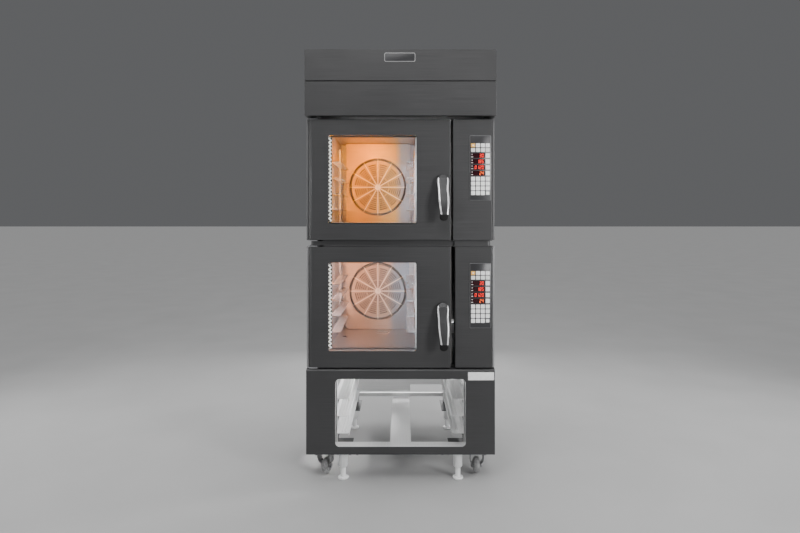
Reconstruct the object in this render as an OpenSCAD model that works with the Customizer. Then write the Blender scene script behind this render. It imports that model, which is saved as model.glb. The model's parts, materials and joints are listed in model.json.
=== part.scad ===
// Two convection ovens stacked on a tray stand, with a steam hood on top.
// Millimetres. Origin at the centre of the footprint, on the floor. +X right, front at -Y, +Z up.
// Inside the modules, y is the depth behind the front plane and z starts at the deck's own bottom.

/* [Stack] */
// Width of the ovens and the stand
body_w = 850; // [820:2:900]
// Depth of the oven casings behind the front plane
body_d = 800; // [790:2:860]
// Height of one oven deck
deck_h = 545; // [540:1:570]
// Height of the stacking frame between the decks
stack_h = 29; // [25:1:40]
// Gap between the stand and the lower deck
base_gap = 6; // [6:1:12]
// Gap between the upper deck and the hood
hood_gap = 12; // [8:1:20]
// Thickness of the folded sheets
sheet = 2; // [1.5:0.1:2.5]
// How far the handles stand in front of the front plane
handle_proud = 62; // [60:1:75]
// How far the pipes reach behind the casings
rear_proud = 40; // [35:1:60]

/* [Casing and door] */
// Width of the folded front edge of each casing side
side_return = 9; // [7:1:12]
// Depth of that edge behind the front plane
return_depth = 15; // [13:1:18]
// Gap round the door and the fascia at the casing sides
side_gap = 3; // [3:0.5:5]
// Right edge of the door, from the centre
door_right = 226; // [215:1:235]
// Thickness of the door
door_t = 55; // [52:1:60]
// Gap between the closed door and the front flange
door_gap = 3; // [3:0.5:5]
// Gap above and below the door
door_end_gap = 1; // [0.8:0.1:1.5]
// Gap between the door and the fascia on the upper deck
upper_panel_gap = 10; // [8:1:16]
// Gap between the door and the fascia on the lower deck
lower_panel_gap = 20; // [10:1:24]
// Radius of the door's rounded hinge edge
hinge_r = 14; // [12:0.5:15]
// Radius of the hinge pins
hinge_pin_r = 5; // [4:0.5:6]
// Length of a hinge pin inside the door
hinge_pin_l = 14; // [10:1:20]
// Thickness of the hinge plates
hinge_plate_t = 4; // [3:0.5:4.5]
// Length of the hinge plates along the front
hinge_plate_w = 64; // [50:1:80]

/* [Window] */
// Width and height of the window
window_s = 398; // [380:1:404]
// Corner radius of the window
window_r = 9; // [5:1:15]
// Centre of the window, from the centre of the oven
window_x = -127; // [-130:1:-124]
// Height of the window's lower edge above the deck's bottom
window_z = 75; // [70:1:85]
// Thickness of a glass pane
glass_t = 4; // [3:0.5:5]
// Width that the outer pane laps behind the skin
glass_lap = 16; // [12:1:20]
// Width of a lamp strip at the window's side
lamp_w = 9; // [7:0.5:11]
// Number of lamps in the left strip
lamp_n = 22; // [16:1:26]

/* [Handle] */
// Place of the handle's pivot across the oven
handle_x = 190; // [184:1:192]
// Height of the pivot above the deck's bottom
handle_z = 268; // [255:1:290]
// Radius of the rounded head
handle_r = 26.5; // [24:0.5:28]
// Length of the lever below the pivot
lever_l = 153; // [140:1:165]
// Length of the black tip below the lever
tip_l = 27; // [20:1:32]
// Thickness of the lever
lever_t = 15; // [12:1:18]
// Radius of the spindle
spindle_r = 6; // [5:0.5:7]

/* [Control panel] */
// Width of the keypad
keypad_w = 96; // [90:1:104]
// Height of the keypad
keypad_h = 292; // [285:1:300]
// Centre of the keypad across the oven
keypad_x = 359; // [354:1:362]
// Height of the keypad's lower edge above the deck's bottom
keypad_z = 179; // [170:1:190]
// Thickness of the keypad
keypad_t = 3; // [2:0.5:4]
// Side of one key
key_s = 18.5; // [17:0.5:20]
// Spacing of the keys across
key_px = 21.9; // [21:0.1:22.5]
// Spacing of the keys upwards
key_pz = 21.4; // [21:0.1:22.5]
// Height of a key above the keypad
key_t = 0.8; // [0.6:0.1:1.2]

/* [Chamber] */
// Inside width of the cooking chamber
cavity_w = 416; // [408:2:424]
// Height of the chamber's floor above the deck's bottom
cavity_z = 58; // [55:1:60]
// Depth of the motor space between the chamber's rear wall and the casing's rear
motor_space = 110; // [100:1:120]
// Depth of the fan space between the guard plate and the chamber's rear wall
fan_space = 83; // [78:1:95]
// Width of the fan guard plate
guard_w = 347; // [335:1:352]
// Thickness of the insulation
wool_t = 26; // [20:1:27]
// Clearance between the insulation and the deck's top
wool_gap = 3; // [2:0.5:6]
// Number of tray levels in the chamber
rack_n = 4; // [3:1:5]
// Spacing of the tray levels
rack_p = 74.5; // [70:0.5:80]
// Height of the lowest tray level above the deck's bottom
rack_z = 140; // [130:1:150]
// Width of one rack ledge
rack_w = 42; // [36:1:44]
// Gap between the rack ledges and the fan guard
rack_end = 22; // [15:1:60]

/* [Fan] */
// Radius of the fan guard's outer ring
guard_r = 159; // [150:1:162]
// Width of the open ring round the guard
ring_w = 15; // [12:1:18]
// Number of spokes in the guard
spoke_n = 12; // [8:2:16]
// Width of one spoke
spoke_w = 5; // [4:0.5:7]
// Width of one slot in the guard
slot_w = 6; // [5:0.5:7]
// Spacing of the slots
slot_p = 11; // [10:0.5:12]
// Radius of the fan wheel
fan_r = 125; // [110:1:128]
// Number of fan blades
blade_n = 10; // [8:1:14]
// Width of the fan wheel along its shaft
fan_w = 42; // [36:1:46]
// Radius of the motor shaft
shaft_r = 8; // [7:0.5:10]
// Radius of the heating ring
heater_r = 150; // [146:1:154]
// Radius of the heating tube
heater_tube = 4.25; // [3.5:0.25:5]
// Number of turns in the heating ring
heater_n = 3; // [2:1:3]

/* [Hood] */
// How far the hood's sides stand outside the casings
hood_over = 3; // [1:0.5:8]
// How far the hood's face stands in front of the front plane
hood_proud = 24; // [18:1:30]
// Height of the lower band
hood_low_h = 151; // [140:1:160]
// Height of the upper band
hood_up_h = 138; // [130:1:150]
// Height of the groove between the bands
seam_h = 6; // [4:1:8]
// Depth of that groove
seam_d = 6; // [4:1:8]
// Inside radius of the exhaust collar
collar_r = 75; // [60:5:80]
// Height of the exhaust collar
collar_h = 40; // [35:1:60]

/* [Stand] */
// Height of the stand's box
base_h = 385; // [370:1:400]
// How far the stand's rear stays in front of the casings' rear
base_back = 20; // [10:1:30]
// Clear height under the stand
leg_h = 135; // [132:1:145]
// Width of the front opening
opening_w = 587; // [575:1:595]
// Height of the front opening
opening_h = 305; // [295:1:312]
// Height of the opening's lower edge above the stand's bottom
opening_z = 35; // [30:1:40]
// Corner radius of the opening
opening_r = 18; // [10:1:24]
// Radius of the rounded upper edge
top_edge_r = 12; // [8:1:16]
// Number of runner levels at each side
runner_n = 3; // [2:1:3]
// Height of the lowest runner above the stand's bottom
runner_z = 73; // [70:1:80]
// Spacing of the runners
runner_p = 80; // [75:1:85]
// Width of a runner
runner_w = 55; // [50:1:58]
// Height of a runner's inner lip
runner_lip = 17; // [12:1:20]
// Width of the centre strip
strip_w = 96; // [80:2:120]

/* [Feet and casters] */
// Distance of the feet from the stand's sides
foot_in = 161; // [159:1:167]
// Depth of the front feet
foot_d = 65; // [60:1:70]
// Radius of the leg tubes
tube_r = 20.5; // [18:0.5:22]
// Length of the leg tubes
tube_l = 81; // [76:1:88]
// Radius of a foot's stem
stem_r = 12; // [10:0.5:14]
// Radius of a foot's disc
disc_r = 25; // [22:0.5:26]
// Thickness of a foot's disc
disc_t = 12; // [8:1:14]
// Distance of the casters from the stand's sides
caster_in = 70; // [67:1:71]
// Depth of the front casters
caster_d = 90; // [88:1:94]
// Radius of a caster wheel
wheel_r = 37.5; // [35:0.5:40]
// Width of a caster wheel
wheel_w = 32; // [28:1:34]
// Gap between the wheels and the floor
wheel_lift = 5; // [4:1:12]
// Offset of the wheel from the swivel
trail = 26; // [22:1:27]
// Radius of the wheel axle
axle_r = 6; // [5:0.5:7]
// Radius of the swivel's kingpin
kingpin_r = 7; // [6:0.5:8]

/* [Hidden] */

$fn = 48;

// Radial clearance of pins, shafts and stems that turn or slide
run_gap = 0.05;
// Clearance between pieces that pass each other
pass_gap = 0.5;
// Overlap that makes a cut pass right through
cut = 1;

front_y = (handle_proud - body_d - rear_proud) / 2;
half_w = body_w / 2;
inner_w = half_w - sheet;
base_top = leg_h + base_h;
lower_z = base_top + base_gap;
upper_z = lower_z + deck_h + stack_h;
hood_z = upper_z + deck_h + hood_gap;
hood_w = body_w + 2 * hood_over;
base_d = body_d - base_back;
foot_x = half_w - foot_in;
caster_x = half_w - caster_in;

// Door and front flange
door_left = -half_w + side_return + side_gap;
flange_d = door_t + door_gap;
hinge_x = door_left + hinge_r;
window_left = window_x - window_s / 2;
window_right = window_x + window_s / 2;
window_top = window_z + window_s;
panel_right = half_w - side_return - side_gap - door_end_gap;

// Chamber, racks and fan
cavity_d = body_d - motor_space;
cavity_h = deck_h - cavity_z - wool_t - wool_gap - 2 * sheet;
cavity_left = window_x - cavity_w / 2;
cavity_right = window_x + cavity_w / 2;
cavity_top = cavity_z + cavity_h;
fan_z = window_z + window_s / 2 - 4;
fan_gap = 12;
guard_d = cavity_d - fan_space;
fan_d = guard_d + sheet + fan_gap;
motor_d = cavity_d + sheet + wool_t;

// Colours, as the photo shows them
anthracite = [0.16, 0.16, 0.17];
black = [0.05, 0.05, 0.05];
steel = [0.72, 0.72, 0.73];
chrome = [0.85, 0.85, 0.87];
glass = [0.8, 0.85, 0.9, 0.3];
wool = [0.85, 0.8, 0.6];
rubber = [0.12, 0.12, 0.12];
white = [0.95, 0.95, 0.93];

// A box between two corners
module block(low, high) {
  translate(low) cube(high - low);
}

// Points of a quarter circle, from one angle on
function corner_arc(cx, cy, r, from) = [
  for (i = [0 : 6]) [cx + r * cos(from + i * 15), cy + r * sin(from + i * 15)]
];
function corner(cx, cy, sx, sy, r, from) =
  r > 0 ? corner_arc(cx - sx * r, cy - sy * r, r, from) : [[cx, cy]];

// Points of a rectangle with rounded corners, r from the lower left one round to the upper left one
function rounded(x0, y0, x1, y1, r) = concat(
  corner(x0, y0, -1, -1, r[0], 180), corner(x1, y0, 1, -1, r[1], 270),
  corner(x1, y1, 1, 1, r[2], 0), corner(x0, y1, -1, 1, r[3], 90)
);

// A plate in the XZ plane with rounded corners, from depth d0 to d1
module plate(x0, z0, x1, z1, r, d0, d1) {
  translate([0, d1, 0]) rotate([90, 0, 0]) linear_extrude(d1 - d0)
    polygon(rounded(x0, z0, x1, z1, [r, r, r, r]));
}

// A round bar along the depth
module bar_y(x, z, r, d0, d1) {
  translate([x, d1, z]) rotate([90, 0, 0]) cylinder(r = r, h = d1 - d0);
}

// A smooth curve through points
function pick(p, i) = p[max(0, min(len(p) - 1, i))];
function blend4(a, b, c, d, t) =
  0.5 * (2 * b + (c - a) * t + (2 * a - 5 * b + 4 * c - d) * t * t + (3 * b - a - 3 * c + d) * t * t * t);
function smooth(p, steps = 4) = concat(
  [for (i = [0 : len(p) - 2], k = [0 : steps - 1])
    blend4(pick(p, i - 1), p[i], p[i + 1], pick(p, i + 2), k / steps)],
  [p[len(p) - 1]]
);

// A list of points, last one first
function turned(p) = [for (k = [len(p) - 1 : -1 : 0]) p[k]];

// Moves a deck's pieces to their place in the stack
module in_deck(z) {
  translate([0, front_y, z]) children();
}

// Stand

// Side profile of the front panel: rounded upper edge
module front_profile(inset) {
  rotate([90, 0, 90]) linear_extrude(2 * (half_w - inset), center = true)
    polygon(concat(
      [[inset, inset], [panel_box_d, inset], [panel_box_d, base_h - inset]],
      corner_arc(top_edge_r, base_h - top_edge_r, top_edge_r - inset, 90)
    ));
}
panel_box_d = 60;

module base_front_panel() {
  color(anthracite) in_deck(leg_h) {
    difference() {
      front_profile(0);
      front_profile(sheet);
      block([-half_w - cut, panel_box_d - cut / 2, sheet],
            [half_w + cut, panel_box_d + cut, base_h - sheet]);
      block([-inner_w, low_fold_d, -cut], [inner_w, panel_box_d + cut, sheet + cut]);
      plate(-opening_w / 2, opening_z, opening_w / 2, opening_z + opening_h, opening_r, -cut, sheet + cut);
    }
  }
}
opening_lip = 14;
low_fold_d = 38;

module base_side_panels() {
  color(anthracite) in_deck(leg_h) for (side = [-1, 1]) {
    scale_x(side) {
      block([half_w - sheet, panel_box_d, 0], [half_w, base_d, base_h]);
      block([half_w - 20, base_d - sheet, 0], [half_w - sheet, base_d, base_h]);
      block([half_w - 20, panel_box_d, base_h - sheet], [half_w - sheet, base_d - sheet, base_h]);
    }
  }
}

// Mirrors a right-hand piece for the left side
module scale_x(side) {
  if (side > 0) {
    children();
  } else {
    mirror([1, 0, 0]) children();
  }
}

rear_in = 33;
rear_d = base_d - rear_in;
post_in = foot_x - 21;
post_w = 23;
rear_plate_z = 67;
rail_z = 36;
rail_h = 20;
cutout_x = 54;
cutout_top = 104;

module base_rear_frame() {
  color(steel) in_deck(leg_h) {
    for (side = [-1, 1]) scale_x(side)
      block([post_in, rear_d, plate_t + sheet], [post_in + post_w, rear_d + 20, base_h - sheet - 20]);
    block([-post_in, rear_d + sheet, rail_z], [post_in, rear_d + 18, rail_z + rail_h]);
    difference() {
      block([-post_in, rear_d + 4, rear_plate_z], [post_in, rear_d + 4 + sheet, base_h - sheet - 20]);
      block([cutout_x, rear_d, rear_plate_z - cut], [post_in - 5, rear_d + 10, cutout_top]);
    }
  }
}

frame_in = 21;
frame_x = half_w - frame_in;
frame_t = 20;
frame_w = 40;
pad_s = 60;

module base_top_frame() {
  color(steel) in_deck(leg_h + base_h) {
    difference() {
      block([-frame_x, panel_box_d, -sheet - frame_t], [frame_x, base_d - 2 * sheet, -sheet]);
      block([-frame_x + frame_w, panel_box_d + frame_w, -sheet - frame_t - cut],
            [frame_x - frame_w, base_d - 2 * sheet - frame_w, -sheet + cut]);
    }
    for (side = [-1, 1], d = [pad_front, pad_rear]) scale_x(side)
      block([frame_x - sheet / 2 - pad_s, d, -sheet], [frame_x - sheet / 2, d + pad_s, base_gap]);
  }
}
pad_front = 130;
pad_rear_in = 100;
pad_rear = base_d - pad_rear_in;

corner_in = foot_x - 39;
channel_in = foot_x + 36;
plate_t = 4;
corner_l = 185;

module base_chassis() {
  color(anthracite) in_deck(leg_h) for (side = [-1, 1]) scale_x(side) {
    for (d = [sheet, base_d - sheet - corner_l])
      block([corner_in, d, sheet], [half_w - sheet, d + corner_l, plate_t + sheet]);
    block([channel_in, sheet, sheet], [half_w - sheet, base_d - sheet, plate_t + sheet]);
    block([channel_in, corner_l, plate_t], [channel_in + sheet, base_d - corner_l, rail_z]);
  }
}

// Floor with the lining of the front opening
module base_floor() {
  color(steel) in_deck(leg_h) {
    difference() {
      plate(-opening_w / 2 - sheet, opening_z - sheet, opening_w / 2 + sheet, opening_z + opening_h + sheet,
            opening_r + sheet, sheet, opening_lip);
      plate(-opening_w / 2, opening_z, opening_w / 2, opening_z + opening_h, opening_r, 0, opening_lip + cut);
    }
    block([-ledge_w / 2, opening_lip, opening_z - sheet], [ledge_w / 2, panel_box_d, opening_z]);
    block([-ledge_w / 2, panel_box_d - sheet, plate_t + sheet],
          [ledge_w / 2, panel_box_d, opening_z - sheet]);
    block([-strip_w / 2, panel_box_d, opening_z - sheet], [strip_w / 2, rear_d + sheet, opening_z]);
    for (side = [-1, 1]) scale_x(side)
      block([strip_w / 2 - sheet, panel_box_d, opening_z - 14], [strip_w / 2, rear_d, opening_z - sheet]);
    block([-strip_w / 2, rear_d, opening_z], [strip_w / 2, rear_d + sheet, rail_z + rail_h]);
  }
}
ledge_w = 620;

runner_out = opening_w / 2;
runner_front = 64;
runner_web = 44;
upright_w = 24;
upright_in = 20;
upright_back = 60;

// One runner with its inner lip and its web, rounded at the front
module runner() {
  translate([0, 0, -sheet]) linear_extrude(sheet)
    polygon(rounded(runner_out - runner_w, runner_front, runner_out, rear_d - 3, [12, 0, 0, 0]));
  block([runner_out - runner_w, runner_front + 12, -runner_lip],
        [runner_out - runner_w + sheet, rear_d - 3, 0]);
  block([runner_out - sheet, runner_front, -sheet], [runner_out, rear_d - 3, runner_web]);
  for (x = [14, 28])
    block([runner_out - runner_w + x, runner_front + 20, 0],
          [runner_out - runner_w + x + 4, rear_d - 20, 1.5]);
}

module tray_runners() {
  color(steel) in_deck(leg_h) for (side = [-1, 1]) scale_x(side) {
    for (i = [0 : runner_n - 1]) translate([0, 0, runner_z + i * runner_p]) runner();
    for (d = [panel_box_d + upright_in, rear_d - upright_back])
      block([runner_out, d, plate_t + sheet], [runner_out + 6, d + upright_w, base_h - sheet - frame_t]);
  }
}

// Places for the four corners: name index 0 front left, 1 front right, 2 rear left, 3 rear right
corner_side = [-1, 1, -1, 1];
corner_rear = [0, 0, 1, 1];
caster_turn = [-20, 0, 12, -8];
function corner_depth(i, d) = corner_rear[i] == 1 ? base_d - d : d;

module at_foot(i) {
  translate([corner_side[i] * foot_x, front_y + corner_depth(i, foot_d), 0]) children();
}

module at_caster(i) {
  translate([corner_side[i] * caster_x, front_y + corner_depth(i, caster_d), 0])
    rotate([0, 0, caster_turn[i]]) children();
}

caster_plate_t = 6;
caster_plate_s = 78;
mount_top = leg_h + sheet;
crown_top = mount_top - caster_plate_t - pass_gap;
crown_t = 14;
kingpin_l = crown_t + 2 * pass_gap;
tube_bevel = 5;
kingpin_z = mount_top - caster_plate_t - kingpin_l;
wheel_z = wheel_lift + wheel_r;
fork_in = wheel_w / 2 + 1;
fork_t = 3;
crown_r = 32;

module leg_and_caster_mounts() {
  color(chrome) for (i = [0 : 3]) {
    at_foot(i) difference() {
      union() {
        translate([0, 0, leg_h - tube_l]) cylinder(r1 = tube_r - tube_bevel, r2 = tube_r, h = tube_bevel);
        translate([0, 0, leg_h - tube_l + tube_bevel]) cylinder(r = tube_r, h = tube_l - tube_bevel + sheet);
      }
      translate([0, 0, leg_h - tube_l - cut]) cylinder(r = stem_r + run_gap, h = tube_l - 4 + cut);
    }
    translate([corner_side[i] * caster_x, front_y + corner_depth(i, caster_d), 0]) {
      block([-caster_plate_s / 2 + 8, -caster_plate_s / 2, mount_top - caster_plate_t],
            [caster_plate_s / 2 - 8, caster_plate_s / 2, mount_top]);
      translate([0, 0, kingpin_z]) cylinder(r = kingpin_r, h = kingpin_l + 1);
      translate([0, 0, kingpin_z - 4]) cylinder(r = kingpin_r + 5, h = 4);
    }
  }
}

module foot(i) {
  color(chrome) at_foot(i) {
    rotate_extrude() polygon(concat(
      [[0, 0]],
      [for (a = [-90 : 15 : 90]) [disc_r - disc_t / 2 * (1 - cos(a)), disc_t / 2 * (1 + sin(a))]],
      [[stem_r, disc_t], [stem_r, foot_top], [0, foot_top]]
    ));
  }
}
foot_top = leg_h - 34;

module fork(i) {
  color(chrome) at_caster(i) {
    difference() {
      union() {
        rotate_extrude() polygon([
          [0, crown_top - crown_t], [crown_r, crown_top - crown_t], [crown_r, crown_top - crown_t + 5],
          [crown_r - 5, crown_top - 3], [crown_r - 12, crown_top], [0, crown_top]
        ]);
        for (side = [-1, 1]) scale_x(side) fork_arm();
      }
      translate([0, 0, crown_top - crown_t - cut]) cylinder(r = kingpin_r + run_gap, h = crown_t + 2 * cut);
    }
    translate([-fork_in - fork_t - 5, trail, wheel_z]) rotate([0, 90, 0])
      cylinder(r = axle_r, h = 2 * (fork_in + fork_t + 5));
    for (side = [-1, 1]) scale_x(side)
      translate([fork_in + fork_t, trail, wheel_z]) rotate([0, 90, 0]) cylinder(r = axle_r + 4, h = 5);
  }
}

// One side of a fork: from the crown down to the axle, narrowing and bent inwards
module fork_arm() {
  intersection() {
    rotate([90, 0, 90]) linear_extrude(crown_r + fork_t) polygon(concat(
      [[-arm_half, arm_top], [-arm_half, arm_top - 12]],
      [for (a = [200 : 20 : 360]) [trail + arm_r * cos(a), wheel_z + arm_r * sin(a)]],
      [[trail + 8, arm_top - 20], [arm_half, arm_top]]
    ));
    translate([0, trail + 2 * arm_r, 0]) rotate([90, 0, 0]) linear_extrude(4 * arm_r + trail)
      polygon(concat(arm_line(0), turned(arm_line(fork_t))));
  }
}
arm_half = 18;
arm_r = 14;
arm_top = crown_top - crown_t + 3;

// Front line of a fork arm, from the axle up to the crown
function arm_line(x) = smooth([
  [fork_in + x, wheel_z - arm_r - cut], [fork_in + x, wheel_z + 6], [crown_r - fork_t + x - 1, wheel_z + 22],
  [crown_r - fork_t + x, wheel_z + 38], [crown_r - fork_t + x, arm_top]
], 3);

module wheel(i) {
  color(rubber) at_caster(i) translate([-wheel_w / 2, trail, wheel_z]) rotate([0, 90, 0]) {
    difference() {
      rotate_extrude() polygon(concat(
        [[0, 0], [wheel_r * 0.6, 0], [wheel_r * 0.66, 3]],
        [for (a = [-90 : 18 : 90]) [wheel_r - 8 + 8 * cos(a), wheel_w / 2 + (wheel_w / 2 - 3) * sin(a)]],
        [[wheel_r * 0.66, wheel_w - 3], [wheel_r * 0.6, wheel_w], [0, wheel_w]]
      ));
      translate([0, 0, -cut]) cylinder(r = axle_r + run_gap, h = wheel_w + 2 * cut);
    }
  }
}

// Stacking frame, hood, insulation and rear covers

stack_in = 10;
stack_front = 12;
stack_front_right = 3;
lip_h = 3;
lip_d = 8;
stack_wall = 22;

// Outline of the stacking frame, with round front corners and a step beside the fascia
module stack_outline(inset) {
  x = half_w - stack_in - inset;
  step_x = door_right + upper_panel_gap + inset;
  rear = body_d - stack_in - inset;
  polygon(concat(
    corner(-x, stack_front + inset, -1, -1, hinge_r, 180),
    [[step_x, stack_front + inset], [step_x, stack_front_right + inset]],
    corner(x, stack_front_right + inset, 1, -1, hinge_r, 270),
    [[x, rear], [-x, rear]]
  ));
}

module stacking_frame() {
  color(anthracite) in_deck(upper_z - stack_h) difference() {
    union() {
      linear_extrude(lip_h) stack_outline(0);
      translate([0, 0, stack_h - lip_h]) linear_extrude(lip_h) stack_outline(0);
      translate([0, 0, lip_h / 2]) linear_extrude(stack_h - lip_h) stack_outline(lip_d);
    }
    translate([0, 0, -cut]) linear_extrude(stack_h + 2 * cut) stack_outline(lip_d + stack_wall);
    for (z = [-cut, stack_h - hinge_plate_t - pass_gap])
      block([-half_w, 0, z],
            [-half_w + hinge_plate_w + 12, hinge_plate_d + 3, z + hinge_plate_t + pass_gap + cut]);
  }
}

// Four walls of a hood band, between two heights
module hood_walls(z0, z1, inset, t) {
  difference() {
    block([-hood_w / 2 + inset, inset - hood_proud, z0], [hood_w / 2 - inset, hood_rear - inset, z1]);
    block([-hood_w / 2 + inset + t, inset + t - hood_proud, z0 - cut],
          [hood_w / 2 - inset - t, hood_rear - inset - t, z1 + cut]);
  }
}
hood_back = 10;
hood_rear = body_d - hood_back;
hood_fold = 24;
hood_foot_w = 20;

module hood_lower_shell() {
  color(anthracite) in_deck(hood_z) {
    hood_walls(0, hood_low_h, 0, sheet);
    hood_walls(0, sheet, 0, hood_fold);
    hood_walls(hood_low_h - sheet, hood_low_h, 0, seam_d + sheet);
    hood_walls(hood_low_h - sheet, hood_low_h + seam_h, seam_d, sheet);
    for (side = [-1, 1]) scale_x(side)
      block([half_w - 10 - hood_foot_w, hinge_plate_d + 6, -hood_gap], [half_w - 10, body_d - 20, sheet]);
  }
}

module hood_upper_shell() {
  color(anthracite) in_deck(hood_z + hood_low_h + seam_h) {
    hood_walls(0, hood_up_h, 0, sheet);
    hood_walls(0, sheet, 0, seam_d + 3 * sheet);
    difference() {
      block([-hood_w / 2, -hood_proud, hood_up_h - sheet], [hood_w / 2, hood_rear, hood_up_h]);
      translate([0, collar_d, hood_up_h - sheet - cut])
        cylinder(r = collar_r + sheet / 2, h = sheet + 2 * cut);
    }
    translate([0, collar_d, hood_up_h]) difference() {
      cylinder(r = collar_r + sheet, h = collar_h);
      translate([0, 0, -cut]) cylinder(r = collar_r, h = collar_h + 2 * cut);
    }
  }
}
collar_back = 190;
collar_d = hood_rear - collar_back;

filter_z = 60;
filter_t = 20;

module hood_filter() {
  color(steel) in_deck(hood_z + filter_z) difference() {
    block([-filter_w / 2, filter_front, 0], [filter_w / 2, filter_front + filter_l, filter_t]);
    for (i = [0 : filter_n - 1])
      translate([0, filter_front + filter_edge + i * filter_p, 0])
        block([-filter_w / 2 + filter_edge, 0, -cut],
              [filter_w / 2 - filter_edge, filter_slot, filter_t + cut]);
  }
}
filter_w = hood_w - 2 * sheet - 2 * pass_gap;
filter_front = 120;
filter_edge = 15;
filter_slot = 15;
filter_p = 30;
filter_n = 12;
filter_l = 2 * filter_edge + (filter_n - 1) * filter_p + filter_slot;

module insulation() {
  color(wool) for (z = [lower_z, upper_z]) in_deck(z) difference() {
    block([cavity_left - sheet - wool_t, flange_d + sheet, cavity_z - sheet - wool_t],
          [cavity_right + sheet + wool_t, cavity_d + sheet + wool_t, cavity_top + sheet + wool_t]);
    block([cavity_left - sheet, flange_d, cavity_z - sheet],
          [cavity_right + sheet, cavity_d + sheet, cavity_top + sheet]);
    bar_y(window_x, fan_z, shaft_hole_r + 4, cavity_d, cavity_d + sheet + wool_t + cut);
  }
}
shaft_hole_r = 16;

louvre_n = 9;
louvre_p = 18;
louvre_w = 90;
louvre_h = 6;
louvre_x = 70;
vent_x = -250;
vent_z = 430;
vent_r = 25;
inlet_x = 300;
inlet_z = 70;
inlet_r = 13;
inlet_wall = 3;
inlet_l = 22;
function louvre_z(i) = fan_z + (i - (louvre_n - 1) / 2) * louvre_p - louvre_h / 2;

module rear_covers() {
  color(steel) for (z = [lower_z, upper_z]) in_deck(z) {
    difference() {
      block([-inner_w + side_return, body_d - sheet, sheet], [inner_w - side_return, body_d, deck_h - sheet]);
      for (i = [0 : louvre_n - 1], x = [window_x - louvre_x, window_x + louvre_x])
        block([x - louvre_w / 2, body_d - sheet - cut, louvre_z(i)],
              [x + louvre_w / 2, body_d + cut, louvre_z(i) + louvre_h]);
      bar_y(vent_x, vent_z, vent_r + sheet / 2, body_d - sheet - cut, body_d + cut);
      bar_y(inlet_x, inlet_z, inlet_r - inlet_wall / 2, body_d - sheet - cut, body_d + cut);
    }
    difference() {
      bar_y(vent_x, vent_z, vent_r + sheet, body_d, body_d + rear_proud);
      bar_y(vent_x, vent_z, vent_r, body_d - cut, body_d + rear_proud + cut);
    }
    difference() {
      bar_y(inlet_x, inlet_z, inlet_r, body_d, body_d + inlet_l);
      bar_y(inlet_x, inlet_z, inlet_r - inlet_wall, body_d - cut, body_d + inlet_l + cut);
    }
  }
}

// Pieces of one deck

module casing() {
  color(anthracite) {
    for (side = [-1, 1]) scale_x(side) {
      block([half_w - sheet, return_depth, 0], [half_w, body_d, deck_h]);
      block([half_w - side_return, return_depth, 0], [half_w - sheet, return_depth + sheet, deck_h]);
      block([half_w - sheet - side_return, body_d - 2 * sheet, 0], [half_w - sheet, body_d - sheet, deck_h]);
    }
    for (z = [0, deck_h - sheet])
      block([-half_w + sheet, flange_d, z], [half_w - sheet, body_d - 2 * sheet, z + sheet]);
  }
}

flange_right = door_right + 8;

module chamber() {
  color(steel) difference() {
    union() {
      block([-inner_w, flange_d, sheet], [flange_right, flange_d + sheet, deck_h - sheet]);
      block([cavity_left - sheet, flange_d, cavity_z - sheet],
            [cavity_right + sheet, cavity_d + sheet, cavity_top + sheet]);
    }
    block([cavity_left, flange_d - cut, cavity_z], [cavity_right, cavity_d, cavity_top]);
    bar_y(window_x, fan_z, shaft_hole_r, cavity_d - cut, cavity_d + sheet + cut);
  }
}

seal_in = 6;
seal_w = 12;

module door_seal() {
  color(rubber) difference() {
    plate(cavity_left - seal_in - seal_w, cavity_z - seal_in - seal_w, cavity_right + seal_in + seal_w,
          cavity_top + seal_in + seal_w, 14, door_t + 0.3, flange_d);
    plate(cavity_left - seal_in, cavity_z - seal_in, cavity_right + seal_in, cavity_top + seal_in, 4,
          door_t, flange_d + cut);
  }
}

// A slot along part of a circle
module arc_slot(r0, r1, from, to, steps) {
  polygon(concat(
    [for (k = [0 : steps]) let(a = from + (to - from) * k / steps) [r0 * cos(a), r0 * sin(a)]],
    [for (k = [steps : -1 : 0]) let(a = from + (to - from) * k / steps) [r1 * cos(a), r1 * sin(a)]]
  ));
}

inner_slots = 3;
inner_slot_r = 28;
outer_slots = 6;
outer_slot_r = 66;
guard_z0 = 2;
guard_fold = 30;
tab_in = 40;
tab_h = 20;
sector = 360 / spoke_n;

// Angle that half a spoke takes at a radius
function spoke_angle(r) = asin(spoke_w / 2 / r);

module guard_slots() {
  for (k = [0 : spoke_n - 1]) rotate(k * sector) {
    arc_slot(guard_r - ring_w, guard_r, spoke_angle(guard_r), sector - spoke_angle(guard_r), 5);
    for (i = [0 : outer_slots - 1]) let(r = outer_slot_r + i * slot_p)
      arc_slot(r, r + slot_w, spoke_angle(r) + 4, sector - spoke_angle(r) - 4, 2);
    for (i = [0 : inner_slots - 1]) let(r = inner_slot_r + i * slot_p)
      arc_slot(r, r + slot_w, spoke_angle(r) + 3, sector - spoke_angle(r) - 3, 1);
  }
}

module fan_guard() {
  color(steel) {
    translate([window_x, guard_d + sheet, fan_z]) rotate([90, 0, 0]) linear_extrude(sheet) difference() {
      translate([-guard_w / 2, cavity_z + guard_z0 - fan_z]) square([guard_w, cavity_h - 2 * guard_z0]);
      guard_slots();
    }
    for (side = [-1, 1]) translate([window_x, 0, 0]) scale_x(side)
      block([guard_w / 2 - sheet, guard_d + sheet, cavity_z + guard_z0],
            [guard_w / 2, guard_d + guard_fold, cavity_top - guard_z0]);
    for (side = [-1, 1], z = [cavity_z + tab_in, cavity_top - tab_in - tab_h])
      translate([window_x, 0, 0]) scale_x(side)
        block([guard_w / 2 - 14, guard_d + guard_fold, z], [guard_w / 2, cavity_d - 0.3, z + tab_h]);
  }
}

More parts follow.
